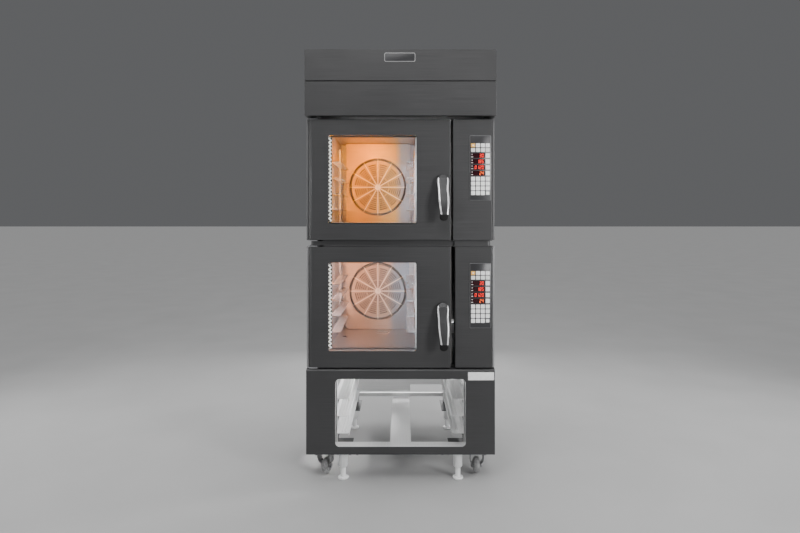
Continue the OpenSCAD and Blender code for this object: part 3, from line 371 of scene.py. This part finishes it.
# Painted highlight on the casing's front fold: depth of the pale part, and its colour
FOLD_HIGHLIGHT_FULL, FOLD_HIGHLIGHT_END = 0.003, 0.006
FOLD_HIGHLIGHT = {"upper": (0.16, 0.16, 0.163), "lower": (0.34, 0.34, 0.345)}


def make_casing(deck):
    """Painted like the panels, with a highlight painted on its front fold."""
    mat = brushed(deck + "_casing_paint_highlight", *PAINT)
    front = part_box(deck + "_casing")[0].y
    fold = axis_fade(mat, "Y", front + FOLD_HIGHLIGHT_FULL, front + FOLD_HIGHLIGHT_END, 1.0, 0.0)
    tint(mat, fold, FOLD_HIGHLIGHT[deck])
    return mat


# Half width of the change from the hinge plates' colour to the latch keeper's, which is painted black as
# shade
KEEPER_SHADE_SPLIT = 0.1


def make_hardware():
    """Polished hinge plates at the left; the latch keeper at the right painted black as the shade of the gap
    beside the door.
    """
    mat = brushed("door_hardware", *POLISHED, (0.10, 0.20), 1.0, (40, 40, 40), bump=0.02)
    tint(mat, axis_fade(mat, "X", -KEEPER_SHADE_SPLIT, KEEPER_SHADE_SPLIT), (0.03, 0.03, 0.03))
    return mat


hardware = make_hardware()
FINISH = {
    "painted_panel": anthracite,
    "stainless": stainless,
    "chrome": chrome,
    "glass": glass,
    "seal_rubber": black_rubber,
    "wheel_rubber": tyre_rubber,
    "mineral_wool": wool,
    "keypad_foil": foil,
    "lamp": lamp_body,
    "heating_tube": heater_steel,
    "motor_housing": motor_grey,
    "grip_plastic": tip_black,
}
SPECIAL = {
    "base_floor": stainless_deep,
    "tray_runners": stainless_deep,
    "hood_filter": hood_filter_steel,
    "leg_and_caster_mounts": leg_steel,
}
for deck in DECKS:
    SPECIAL[deck + "_chamber"] = make_chamber_steel(deck)
    SPECIAL[deck + "_fan_guard"] = make_guard_steel(deck)
    SPECIAL[deck + "_fan_wheel"] = shade_dark_steel
    SPECIAL[deck + "_side_racks"] = rack_steel
    SPECIAL[deck + "_casing"] = make_casing(deck)
    SPECIAL[deck + "_door_hardware"] = hardware
for corner in CORNERS:
    SPECIAL["fork_" + corner] = zinc
    SPECIAL["foot_" + corner] = leg_steel

# Edge rounding of each kind of node in mm; 0 where the node is fine
EDGE = {
    "chamber": 0,
    "fan_guard": 0,
    "heater": 0,
    "insulation": 0,
    "keypad": 0.4,
    "door_glass": 0.5,
    "tray_runners": 1.0,
    "side_racks": 1.0,
    "door_skin": 1.2,
    "fascia": 1.2,
    "hood_lower_shell": 1.4,
    "hood_upper_shell": 1.4,
    "base_front_panel": 1.4,
    "handle": 3,
}
EDGE_OTHERS = 0.7
EDGE_ANGLE = 50
WELD_DISTANCE = 0.00002


def dress_nodes():
    """Gives each CAD node its material and softly rounded edges."""
    slots = {row["node"]: row["material_slot"] for row in frame["record"]["subparts"]}
    for name, obj in NODES.items():
        obj.data.materials.clear()
        obj.data.materials.append(SPECIAL.get(name, FINISH[slots[name]]))
        first, _, rest = name.partition("_")
        width = EDGE.get(rest if first in DECKS else name, EDGE_OTHERS)
        if not width:
            continue
        weld = obj.modifiers.new("weld", "WELD")
        weld.merge_threshold = WELD_DISTANCE
        bevel = obj.modifiers.new("edges", "BEVEL")
        bevel.width = mm(width)
        bevel.segments = 2
        bevel.limit_method = "ANGLE"
        bevel.angle_limit = math.radians(EDGE_ANGLE)
        bevel.use_clamp_overlap = True


# Mesh tools


def finish_mesh(name, bm, mats, body=TOWER, sharp=35):
    """Links a bmesh as an object on that body. Faces carry their own material index."""
    mesh = bpy.data.meshes.new(name)
    bmesh.ops.recalc_face_normals(bm, faces=bm.faces)
    bm.to_mesh(mesh)
    bm.free()
    for poly in mesh.polygons:
        poly.use_smooth = True
    mesh.set_sharp_from_angle(angle=math.radians(sharp))
    for mat in mats if isinstance(mats, tuple) else (mats,):
        mesh.materials.append(mat)
    obj = bpy.data.objects.new(name, mesh)
    bpy.context.scene.collection.objects.link(obj)
    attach(obj, body)
    return obj


def merge(bm, part, index=0):
    """Adds one bmesh to another, with a material index."""
    for face in part.faces:
        face.material_index = index
    mesh = bpy.data.meshes.new("part")
    part.to_mesh(mesh)
    part.free()
    bm.from_mesh(mesh)
    bpy.data.meshes.remove(mesh)


def skin(part, rings):
    """Joins each ring of vertices to the next one with faces."""
    for a, b in zip(rings, rings[1:]):
        for k in range(len(a)):
            n = (k + 1) % len(a)
            part.faces.new((a[k], a[n], b[n], b[k]))


def add_block(bm, low, high, radius):
    """A block between two corners with rounded edges."""
    low, high = Vector(low), Vector(high)
    size = high - low
    part = bmesh.new()
    bmesh.ops.create_cube(part, size=1.0)
    bmesh.ops.scale(part, vec=size, verts=part.verts)
    radius = min(radius, 0.49 * min(size))
    bmesh.ops.bevel(part, geom=part.edges[:], offset=radius, segments=2, profile=0.5, affect="EDGES")
    bmesh.ops.translate(part, vec=(low + high) / 2, verts=part.verts)
    merge(bm, part)


def rounded_outline(x0, z0, x1, z1, radius, steps=5):
    """Points round a rectangle with rounded corners."""
    points = []
    corners = ((x1 - radius, z0 + radius, -90), (x1 - radius, z1 - radius, 0),
               (x0 + radius, z1 - radius, 90), (x0 + radius, z0 + radius, 180))
    for cx, cz, start in corners:
        for k in range(steps + 1):
            angle = math.radians(start + 90 * k / steps)
            points.append((cx + radius * math.cos(angle), cz + radius * math.sin(angle)))
    return points


def mm_outline(x0, z0, x1, z1, radius, steps=5):
    """The same, from millimetres."""
    return rounded_outline(mm(x0), mm(z0), mm(x1), mm(z1), mm(radius), steps)


def add_plate(bm, outline, y_front, y_back, index=0, soft=0.0):
    """A plate in the XZ plane from its outline, its front edge softened."""
    part = bmesh.new()
    rings = []
    cx = sum(p[0] for p in outline) / len(outline)
    cz = sum(p[1] for p in outline) / len(outline)
    reach = max(max(abs(p[0] - cx), abs(p[1] - cz)) for p in outline)
    levels = [(y_back, 0.0), (y_front + soft, 0.0)]
    if soft:
        levels += [(y_front + soft * 0.3, soft * 0.3), (y_front, soft)]
    for y, inset in levels:
        shrink = 1 - inset / reach
        points = [(cx + (x - cx) * shrink, y, cz + (z - cz) * shrink) for x, z in outline]
        rings.append([part.verts.new(point) for point in points])
    skin(part, rings)
    part.faces.new(rings[0][::-1])
    part.faces.new(rings[-1])
    merge(bm, part, index)


def add_lathe(bm, profile, centre, axis, steps):
    """Revolves (radius, height) points in millimetres about the Y or Z axis through centre."""
    part = bmesh.new()
    rings = []
    for radius, height in profile:
        ring = []
        for k in range(steps):
            angle = 2 * math.pi * k / steps
            x, y = mm(radius) * math.cos(angle), mm(radius) * math.sin(angle)
            place = (x, mm(height), y) if axis == "Y" else (x, y, mm(height))
            ring.append(part.verts.new(place))
        rings.append(ring)
    skin(part, rings)
    part.faces.new(rings[0])
    part.faces.new(rings[-1])
    bmesh.ops.remove_doubles(part, verts=part.verts, dist=1e-6)
    bmesh.ops.translate(part, vec=Vector(centre), verts=part.verts)
    merge(bm, part)


def add_loft(bm, rows):
    """Joins rings of points into a closed skin."""
    part = bmesh.new()
    rings = [[part.verts.new(point) for point in row] for row in rows]
    skin(part, rings)
    part.faces.new(rings[0][::-1])
    part.faces.new(rings[-1])
    merge(bm, part)


# Keypads: sizes in millimetres, heights from the keypad's lower edge

KEYPAD_X = 359.0
KEY_COLUMNS, KEY_ROWS = 4, 4
KEY_PITCH_X, KEY_PITCH_Z, KEY_SIDE = 21.9, 21.4, 18.0
KEY_LOW = 24.0
KEY_H = 0.6
SMALL_KEY, SMALL_KEY_CUT = (3, 0), 3.0
ROW_PITCH, ROW_H = 26.5, 19.5
TOP_PITCH_Z, TOP_KEY_H = 21, 17
ORANGE_KEY = (0, 1)
BAR_X, BAR_W, BAR_H, BAR_TALL = 6.5, 5.5, 1.2, 0.68
DIGIT_W, DIGIT_H, DIGIT_BAR, DIGIT_PITCH = 7.4, 15.0, 1.5, 10.6
DIGIT_GAP, DIGIT_LEAN = 0.35, 0.09
DISPLAY_ROWS = ("24", "0120", "185", "30")
KEYPAD_MATS = (foil_edge, foil, key_white, key_pale, display_dark, digit_red, digit_orange, key_orange)
SEGMENTS = {
    "0": "abcdef", "1": "bc", "2": "abged", "3": "abgcd", "4": "fgbc",
    "5": "afgcd", "6": "afgedc", "7": "abc", "8": "abcdefg", "9": "abcdfg",
}


def add_digit(bm, char, x, z, y, mat):
    """A slanted seven-segment digit, lower left corner at x, z."""
    w, h, t = DIGIT_W, DIGIT_H, DIGIT_BAR
    bars = {
        "a": (0, h - t, w, h),
        "b": (w - t, h / 2, w, h),
        "c": (w - t, 0, w, h / 2),
        "d": (0, 0, w, t),
        "e": (0, 0, t, h / 2),
        "f": (0, h / 2, t, h),
        "g": (0, (h - t) / 2, w, (h + t) / 2),
    }
    for key in SEGMENTS[char]:
        x0, z0, x1, z1 = bars[key]
        if key in "agd":
            x0, x1 = x0 + DIGIT_GAP, x1 - DIGIT_GAP
        else:
            z0, z1 = z0 + DIGIT_GAP, z1 - DIGIT_GAP
        low, high = x + DIGIT_LEAN * z0, x + DIGIT_LEAN * z1
        outline = [(low + x0, z + z0), (low + x1, z + z0), (high + x1, z + z1), (high + x0, z + z1)]
        points = [(mm(a), mm(b)) for a, b in outline]
        add_plate(bm, points, y - mm(0.25), y + mm(0.2), KEYPAD_MATS.index(mat))


def make_keypad(deck):
    """Foil keypad: keys with small bars and display windows with digits."""
    low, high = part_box(deck + "_keypad")
    rim = low.y + mm(0.8)
    face = rim - mm(0.2)
    x_low, z_low = low.x * 1000, low.z * 1000
    x_high, z_high = high.x * 1000, high.z * 1000
    bm = bmesh.new()
    edge = mm_outline(x_low, z_low, x_high, z_high, 4)
    add_plate(bm, edge, rim, FRONT_Y, KEYPAD_MATS.index(foil_edge), mm(0.6))
    inner = mm_outline(x_low + 2, z_low + 2, x_high - 2, z_high - 2, 3)
    add_plate(bm, inner, face, rim + mm(0.1), KEYPAD_MATS.index(foil), mm(0.1))
    left = KEYPAD_X - 1.5 * KEY_PITCH_X - KEY_SIDE / 2
    last = left + 3 * KEY_PITCH_X

    def key(x, z, w, h, mat, tall=KEY_H):
        outline = mm_outline(x, z, x + w, z + h, min(1.6, w / 3, h / 3), 3)
        add_plate(bm, outline, face - mm(tall), face + mm(0.05), KEYPAD_MATS.index(mat), mm(0.1))

    for i in range(KEY_COLUMNS):
        for k in range(KEY_ROWS):
            cut = SMALL_KEY_CUT if (i, k) == SMALL_KEY else 0.0
            x = left + i * KEY_PITCH_X + cut / 2
            z = z_low + KEY_LOW + k * KEY_PITCH_Z + cut / 2
            key(x, z, KEY_SIDE - cut, KEY_SIDE - cut, key_white)
            if not cut:
                key(x + BAR_X, z + 8.6, BAR_W, BAR_H, key_pale, BAR_TALL)

    base = z_low + KEY_LOW + KEY_ROWS * KEY_PITCH_Z + 3
    for k, digits in enumerate(DISPLAY_ROWS):
        z = base + k * ROW_PITCH
        key(last, z, KEY_SIDE, ROW_H, key_white)
        key(last + BAR_X, z + 9, BAR_W, BAR_H, key_pale, BAR_TALL)
        key(left - 1, z - 1, 3 * KEY_PITCH_X - 2.5, ROW_H + 2, display_dark, 0.15)
        key(left + 2, z + 14, 5, 2.4, key_white, 0.25)
        key(left + 1, z + 2.5, 8, 2.4, key_white, 0.25)
        for n, char in enumerate(reversed(digits)):
            x = last - 7 - (n + 1) * DIGIT_PITCH
            add_digit(bm, char, x, z + 2.2, face - mm(0.25), digit_red if k else digit_orange)

    top = base + len(DISPLAY_ROWS) * ROW_PITCH - 0.5
    for i in range(KEY_COLUMNS):
        for k, plain in enumerate((key_pale, key_white)):
            orange = (i, k) == ORANGE_KEY
            x, z = left + i * KEY_PITCH_X, top + k * TOP_PITCH_Z
            key(x, z, KEY_SIDE, TOP_KEY_H, key_orange if orange else plain)
            key(x + 6, z + 6, 6.5, 5.5, key_white if orange else key_pale, 0.66)
    obj = finish_mesh(deck + "_keypad_face", bm, KEYPAD_MATS)
    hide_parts(deck + "_keypad")


# Lever handles: millimetres from the pivot; edges and lines are (height, value) with falling height

HANDLE_X, HANDLE_Z = 190.0, 268.0
HEAD_R, LEVER_L, TIP_L = 26.5, 153.0, 27.0
LEVER_STEP = 3.0
RIGHT_EDGE = [(0, 26.5), (-40, 24), (-78, 26), (-115, 24.5), (-153, 22)]
LEFT_EDGE = [(0, -26.5), (-40, -23.5), (-78, -22.5), (-115, -18.5), (-153, -13.5)]
FRONT_LINE = [(26.5, -11), (8, -21), (-20, -30), (-60, -44), (-115, -60), (-153, -61.5), (-180, -62)]
BACK_LINE = [(26.5, -6), (8, -9), (-20, -14), (-60, -30), (-115, -43), (-153, -46.5), (-180, -47)]
BOSS = [(17, -0.4), (17, -8), (16, -12), (12, -14)]
ROSETTE = [(18.5, -0.3), (18.5, -2.2), (17.5, -3)]
SPINDLE = [(6, -1), (6, 46)]
CAM_HUB = [(10, 38), (10, 46)]
CAM_REACH, CAM_HALF_H = 26, 7
FACE_INSET = 6.9
# The tip's height below the lever's end, left edge and right edge
TIP = [(-3, -13, 20.5), (0, -15.5, 21), (4, -17, 20.5), (14, -17, 19.5), (20, -15, 17.5), (24.5, -11, 13),
       (TIP_L, -6, 8)]


def curve_at(points, z):
    """Smooth value of a curve given by (z, value) points with falling z."""
    if z >= points[0][0]:
        return points[0][1]
    for k in range(len(points) - 1):
        (z0, v0), (z1, v1) = points[k], points[k + 1]
        if z1 <= z <= z0:
            before = points[max(k - 1, 0)][1]
            after = points[min(k + 2, len(points) - 1)][1]
            t = (z0 - z) / (z0 - z1)
            return 0.5 * (2 * v0 + (v1 - before) * t + (2 * before - 5 * v0 + 4 * v1 - after) * t * t
                          + (3 * v0 - before - 3 * v1 + after) * t ** 3)
    return points[-1][1]


def lever_edges(z):
    """Left and right edge of the lever at a height from its pivot."""
    if z > 0:
        half = math.sqrt(max(HEAD_R ** 2 - z ** 2, 0.5))
        return -half, half
    return curve_at(LEFT_EDGE, z), curve_at(RIGHT_EDGE, z)


def lever_ring(z, x0, x1, y0, y1, origin, radius):
    """A rounded rectangle across the lever, front at y0."""
    radius = min(radius, 0.48 * (x1 - x0), 0.48 * (y1 - y0))
    ring = []
    for x, y in rounded_outline(x0, y0, x1, y1, radius, 6):
        ring.append((origin.x + mm(x), origin.y + mm(y), origin.z + mm(z)))
    return ring


def make_lever_rails(deck, origin, head, shaft):
    """Chrome body of the lever, with its boss on the door; its pale colour is partly painted reflection."""
    rows = []
    for z in head + shaft:
        x0, x1 = lever_edges(z)
        rows.append(lever_ring(z, x0, x1, curve_at(FRONT_LINE, z), curve_at(BACK_LINE, z), origin, 5.5))
    bm = bmesh.new()
    add_loft(bm, rows)
    add_lathe(bm, BOSS, origin, "Y", 40)
    add_lathe(bm, ROSETTE, origin, "Y", 40)
    rail = finish_mesh(deck + "_lever_chrome", bm, lever_chrome, deck + "_lever", 50)
    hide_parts(deck + "_handle")


def make_lever_face(deck, origin, head, shaft):
    """Dark face between the rails, which closes over the top of the head."""
    rows = []
    for z in [h + 0.4 for h in head[:6]] + [12.0, 10.0, 7.0, 4.0] + shaft:
        x0, x1 = lever_edges(min(z, HEAD_R - 0.1))
        cover = min(1.0, max(0.0, (z - 9) / 5))
        side = FACE_INSET - cover * (FACE_INSET + 0.4)
        front, back = curve_at(FRONT_LINE, z), curve_at(BACK_LINE, z)
        deep = front + 4 + cover * (back - front - 3.6)
        rows.append(lever_ring(z, x0 + side, x1 - side, front - 0.5, deep, origin, 1.6 + 3 * cover))
    bm = bmesh.new()
    add_loft(bm, rows)
    face = finish_mesh(deck + "_lever_face", bm, lever_dark, deck + "_lever", 50)


def make_lever_tip(deck, origin):
    """Black grip at the lever's end."""
    rows = []
    for below, x0, x1 in TIP:
        z = -LEVER_L - below
        front, back = curve_at(FRONT_LINE, z), curve_at(BACK_LINE, z)
        rows.append(lever_ring(z, x0, x1, front + 0.3, back - 0.3, origin, 6))
    bm = bmesh.new()
    add_loft(bm, rows)
    end = finish_mesh(deck + "_lever_tip", bm, tip_black, deck + "_lever", 60)
    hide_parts(deck + "_grip")


def make_latch_cam(deck, origin):
    """Spindle through the door with the latch cam at its end."""
    bm = bmesh.new()
    add_lathe(bm, SPINDLE, origin, "Y", 24)
    add_lathe(bm, CAM_HUB, origin, "Y", 32)
    y0, y1 = (mm(depth) for _, depth in CAM_HUB)
    low = origin + Vector((0, y0, mm(-CAM_HALF_H)))
    high = origin + Vector((mm(CAM_REACH), y1, mm(CAM_HALF_H)))
    add_block(bm, low, high, mm(1.5))
    # The cam is near-black: painted shade for the dark gap beside the door.
    cam = finish_mesh(deck + "_latch_cam", bm, shade_dark_steel, deck + "_lever")


def make_handle(deck):
    """Lever with its rails, dark face, black tip and latch cam."""
    origin = Vector((mm(HANDLE_X), FRONT_Y, deck_bottom(deck) + mm(HANDLE_Z)))
    head = [HEAD_R * math.sin(math.radians(a)) for a in (88, 80, 70, 60, 48, 36, 24, 12)]
    shaft = [-LEVER_STEP * k for k in range(int(LEVER_L / LEVER_STEP) + 1)]
    make_lever_rails(deck, origin, head, shaft)
    make_lever_face(deck, origin, head, shaft)
    make_lever_tip(deck, origin)
    make_latch_cam(deck, origin)


# Window lamps

WINDOW_X, WINDOW_SIDE = -127.0, 398.0
CHANNEL_W, CHANNEL_T = 15.5, 3
BEADS, STEPS_PER_BEAD = 22, 8
BAR_STEPS = 12


def oval(x, y, z, reach_x, reach_y):
    """Points of a level oval about x, y."""
    turns = [math.radians(angle) for angle in range(0, 360, 30)]
    return [(x + reach_x * math.cos(turn), y + reach_y * math.sin(turn), z) for turn in turns]


def make_lamps(deck):
    """Beads in a dark channel at the left of the window and a bright bar at its right."""
    body = deck + "_door"
    low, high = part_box(deck + "_door_lamps")
    z0, z1 = low.z, high.z
    y0, y1 = low.y, high.y
    left = mm(WINDOW_X - WINDOW_SIDE / 2)
    right = mm(WINDOW_X + WINDOW_SIDE / 2)
    bm = bmesh.new()
    for x0, x1, y in (
        (low.x, left + mm(CHANNEL_W), y1 - mm(CHANNEL_T)),
        (right - mm(6), high.x, y1 - mm(CHANNEL_T)),
        (low.x, low.x + mm(1.5), y0),
        (high.x - mm(1.5), high.x, y0),
    ):
        add_block(bm, (x0, y, z0), (x1, y1, z1), mm(0.5))
    channel = finish_mesh(deck + "_lamp_channels", bm, lamp_body, body)
    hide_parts(deck + "_door_lamps")

    pitch = (z1 - z0) / BEADS
    rows = []
    for k in range(BEADS * STEPS_PER_BEAD + 1):
        turn = 2 * math.pi * k / STEPS_PER_BEAD
        swing = mm(4.2) * math.sin(turn)
        girth = mm(3.5 + 0.3 * math.cos(2 * turn))
        rows.append(oval(left + mm(7.4) + swing, y0 + mm(6.2), z0 + pitch * k / STEPS_PER_BEAD, girth, girth))
    bm = bmesh.new()
    add_loft(bm, rows)
    beads = finish_mesh(deck + "_lamp_beads", bm, lamp_white, body, 60)

    rows = []
    for k in range(BAR_STEPS + 1):
        swell = mm(0.9 + 1.6 * math.sin(math.pi * k / BAR_STEPS) ** 2)
        rows.append(oval(right - mm(2.6), y0 + mm(5), z0 + (z1 - z0) * k / BAR_STEPS, swell, mm(3.5)))
    bm = bmesh.new()
    add_loft(bm, rows)
    bar = finish_mesh(deck + "_lamp_bar", bm, lamp_cool, body, 60)


# Fan guards: each rib's reach from the centre, half width and height, and the hub's profile, in mm

SPOKES = 12
RIB_ROWS = ((14, 0.9, 0.3), (18, 1.5, 1.6), (60, 1.7, 2.0), (128, 1.7, 2.0), (157, 1.5, 1.6), (160, 0.9, 0.3))
RIB_ROOT = 0.4
HUB = [(16, 0.4), (16, -0.8), (14.5, -1.6), (5, -1.8)]


def make_guard_ribs(deck):
    """Ribs pressed along the spokes of the fan guard, and its flat hub."""
    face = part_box(deck + "_fan_guard")[0].y
    centre = wheel_centre(deck)
    bends = [math.radians(angle) for angle in range(0, 181, 30)]
    bm = bmesh.new()
    for k in range(SPOKES):
        turn = math.radians(360 / SPOKES * k)
        across = Vector((math.cos(turn), 0, -math.sin(turn)))
        along = Vector((math.sin(turn), 0, math.cos(turn)))
        rows = []
        for reach, half, tall in RIB_ROWS:
            profile = [(half * math.cos(bend), 0.05 + tall * math.sin(bend)) for bend in bends]
            profile += [(-half, -RIB_ROOT), (half, -RIB_ROOT)]
            ring = []
            for side, out in profile:
                place = along * mm(reach) + across * mm(side)
                ring.append((centre.x + place.x, face - mm(out), centre.z + place.z))
            rows.append(ring)
        add_loft(bm, rows)
    add_lathe(bm, HUB, (centre.x, face, centre.z), "Y", 40)
    ribs = finish_mesh(deck + "_guard_ribs", bm, rib_steel)


# Small fasteners and plates, in millimetres; plates are left, bottom, right and top

SCREW_R, SCREW_H = 3.2, 1.6
SCREW_INSET_X, SCREW_INSET_Z, SCREW_MIDDLE_X = 20, 12, 140
BOLT_X = (-382, -227, -195, 190, 216, 382)
BOLT_DEPTH = 9
WASHER = [(7.5, 0), (7.5, -0.8)]
BOLT_HEAD = [(6.5, -0.8), (6.5, -4.2), (5.6, -5)]
HOOD_PLATE, HOOD_PLATE_R, HOOD_PLATE_RIM = (-72, 1897, 66, 1937), 7, 2.5
STAND_PLATE = (304, 470, 421, 506)


def add_screw(bm, place):
    """A flat socket screw head that stands out at the back."""
    r, h = SCREW_R, SCREW_H
    profile = [(r, 0), (r, h * 0.6), (r * 0.86, h), (r * 0.45, h), (r * 0.42, h * 0.4), (0.05, h * 0.4)]
    add_lathe(bm, profile, place, "Y", 18)


def make_screws():
    """Screw heads round the rear covers."""
    bm = bmesh.new()
    for deck in DECKS:
        low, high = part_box(deck + "_casing")
        left, right = low.x + mm(SCREW_INSET_X), high.x - mm(SCREW_INSET_X)
        bottom, top = low.z + mm(SCREW_INSET_Z), high.z - mm(SCREW_INSET_Z)
        for x in (left, mm(-SCREW_MIDDLE_X), mm(SCREW_MIDDLE_X), right):
            for z in (bottom, top):
                add_screw(bm, (x, high.y, z))
        for x in (left, right):
            for share in (0.33, 0.66):
                add_screw(bm, (x, high.y, low.z + share * (high.z - low.z)))
    finish_mesh("rear_cover_screws", bm, zinc)


def make_bolts():
    """Hexagon bolts with washers under the stand's front fold."""
    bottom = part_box("base_front_panel")[0].z
    bm = bmesh.new()
    for x in BOLT_X:
        place = (mm(x), FRONT_Y + mm(BOLT_DEPTH), bottom)
        add_lathe(bm, WASHER, place, "Z", 24)
        add_lathe(bm, BOLT_HEAD, place, "Z", 6)
    bolts = finish_mesh("stand_bolts", bm, zinc)


def make_blank_plates():
    """Blank plates on the hood and on the stand."""
    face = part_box("hood_upper_shell")[0].y
    x0, z0, x1, z1 = HOOD_PLATE
    rim = HOOD_PLATE_RIM
    bm = bmesh.new()
    outer = mm_outline(x0, z0, x1, z1, HOOD_PLATE_R)
    inner = mm_outline(x0 + rim, z0 + rim, x1 - rim, z1 - rim, HOOD_PLATE_R - 1.5)
    add_plate(bm, outer, face - mm(1.6), face + mm(0.4), 0, mm(0.6))
    add_plate(bm, inner, face - mm(1.9), face - mm(1), 1, mm(0.3))
    finish_mesh("hood_blank_plate", bm, (mark_grey, foil))

    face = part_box("base_front_panel")[0].y
    bm = bmesh.new()
    add_plate(bm, mm_outline(*STAND_PLATE, 1.5), face - mm(0.4), face + mm(0.3), 0, mm(0.1))
    finish_mesh("base_blank_label", bm, blank_pale)


# Floor and lights: place, aim and size in metres, power in watts, spread in degrees

FLOOR_HALF = 80.0
WORLD_COLOUR, WORLD_STRENGTH = (0.60, 0.61, 0.63), 0.20
TOP_STRENGTH, TOP_ANGLE = 1.7, 80
WHITE = (1, 1, 1)
WARM = (1.0, 0.30, 0.0)
COOL = (0.80, 0.88, 1.0)
ROSE = (1.0, 0.42, 0.22)
PEACH = (1.0, 0.66, 0.52)
DUSK = (0.80, 0.78, 0.95)
STUDIO_LIGHTS = (
    ("key", (-0.4, -3.0, 4.0), (0, 0, 1.7), (2.8, 1.4), 34, 120),
    ("fill_left", (-2.4, -2.6, 1.5), (0, 0, 1.5), (0.7, 1.2), 8, 110),
    ("fill_right", (2.4, -2.6, 1.5), (0.2, 0, 1.5), (0.7, 1.2), 30, 110),
    ("side_left", (-3.0, 0.2, 1.6), (0, 0, 1.2), (1.2, 1.6), 28, 180),
    ("side_right", (3.0, 0.2, 1.6), (0, 0, 1.2), (1.2, 1.6), 28, 180),
    ("rear", (0, 2.3, 1.35), (0, 0.4, 1.3), (1.1, 1.5), 30, 180),
    ("stand_left", (0.16, FRONT_Y + 0.16, 0.49), (-0.30, FRONT_Y + 0.30, 0.34), (0.16, 0.05), 2.4, 90),
    ("stand_right", (-0.16, FRONT_Y + 0.16, 0.49), (0.30, FRONT_Y + 0.30, 0.34), (0.16, 0.05), 0.25, 90),
    ("stand_rear", (0, FRONT_Y + 0.36, 0.497), (0, FRONT_Y + 0.74, 0.36), (0.52, 0.1), 0.6, 100),
)
# Share of the warm light's power, its colour and the left wall's colour in each chamber
CHAMBER_LIGHT = {"upper": (1.0, WARM, PEACH), "lower": (0.6, ROSE, DUSK)}
CHAMBER_DEPTH, CHAMBER_MIDDLE = 0.12, 0.274


def make_stage():
    """A wide flat floor."""
    h = FLOOR_HALF
    mesh = bpy.data.meshes.new("floor")
    bm = bmesh.new()
    bm.faces.new([bm.verts.new((x, y, 0.0)) for x, y in ((-h, -h), (h, -h), (h, h), (-h, h))])
    bm.to_mesh(mesh)
    bm.free()
    floor = bpy.data.objects.new("floor", mesh)
    bpy.context.scene.collection.objects.link(floor)
    mesh.materials.append(studio_paper)


def area_light(name, place, aim, size, power, spread, colour=WHITE):
    """A rectangular light that faces its aim."""
    data = bpy.data.lights.new(name, "AREA")
    data.shape = "RECTANGLE"
    data.size, data.size_y = size
    data.energy = power
    data.color = colour
    data.spread = math.radians(spread)
    light = bpy.data.objects.new(name, data)
    light.location = place
    light.rotation_euler = (Vector(aim) - Vector(place)).to_track_quat("-Z", "Y").to_euler()
    bpy.context.scene.collection.objects.link(light)


def make_lights():
    """Soft light all round, and a little inside the stand."""
    world = bpy.data.worlds.new("studio")
    world.use_nodes = True
    background = world.node_tree.nodes["Background"]
    background.inputs["Color"].default_value = (*WORLD_COLOUR, 1)
    background.inputs["Strength"].default_value = WORLD_STRENGTH
    bpy.context.scene.world = world
    for row in STUDIO_LIGHTS:
        area_light(*row)


def top_light():
    """Soft light from straight above, so that the floor is even out to the horizon."""
    data = bpy.data.lights.new("top", "SUN")
    data.energy = TOP_STRENGTH
    data.angle = math.radians(TOP_ANGLE)
    light = bpy.data.objects.new("top", data)
    light.location = (0, 0, 6)
    bpy.context.scene.collection.objects.link(light)


def light_chambers():
    """Warm light from the left and the top, cool light from the right, in each chamber."""
    x = mm(WINDOW_X)
    y = FRONT_Y + CHAMBER_DEPTH
    deep = y + 0.42
    for deck in DECKS:
        bottom = deck_bottom(deck)
        z = bottom + CHAMBER_MIDDLE
        share, warm, wall = CHAMBER_LIGHT[deck]
        rows = (
            ("_warm", (x - 0.19, y, z), (x - 0.09, deep, z), (0.03, 0.36), 4.0 * share, 90, warm),
            ("_wall", (x + 0.02, y, z), (x - 0.2, y + 0.12, z), (0.03, 0.30), 1.1, 100, wall),
            ("_warm_top", (x - 0.05, y + 0.1, bottom + 0.495), (x - 0.06, deep, bottom + 0.33),
             (0.16, 0.03), 1.0 * share, 120, warm),
            ("_tips", (x + 0.13, FRONT_Y + 0.062, z), (x + 0.20, FRONT_Y + 0.13, z),
             (0.01, 0.32), 0.45, 70, COOL),
            ("_cool", (x + 0.19, y, z), (x + 0.19, deep, z - 0.03), (0.03, 0.36), 1.5, 60, COOL),
        )
        for name, *rest in rows:
            area_light(deck + name, *rest)


make_camera()
make_stage()
make_lights()
top_light()
dress_nodes()
for deck in ("upper", "lower"):
    make_keypad(deck)
for deck in DECKS:
    make_handle(deck)
    make_lamps(deck)
    make_guard_ribs(deck)
make_screws()
make_bolts()
make_blank_plates()
light_chambers()
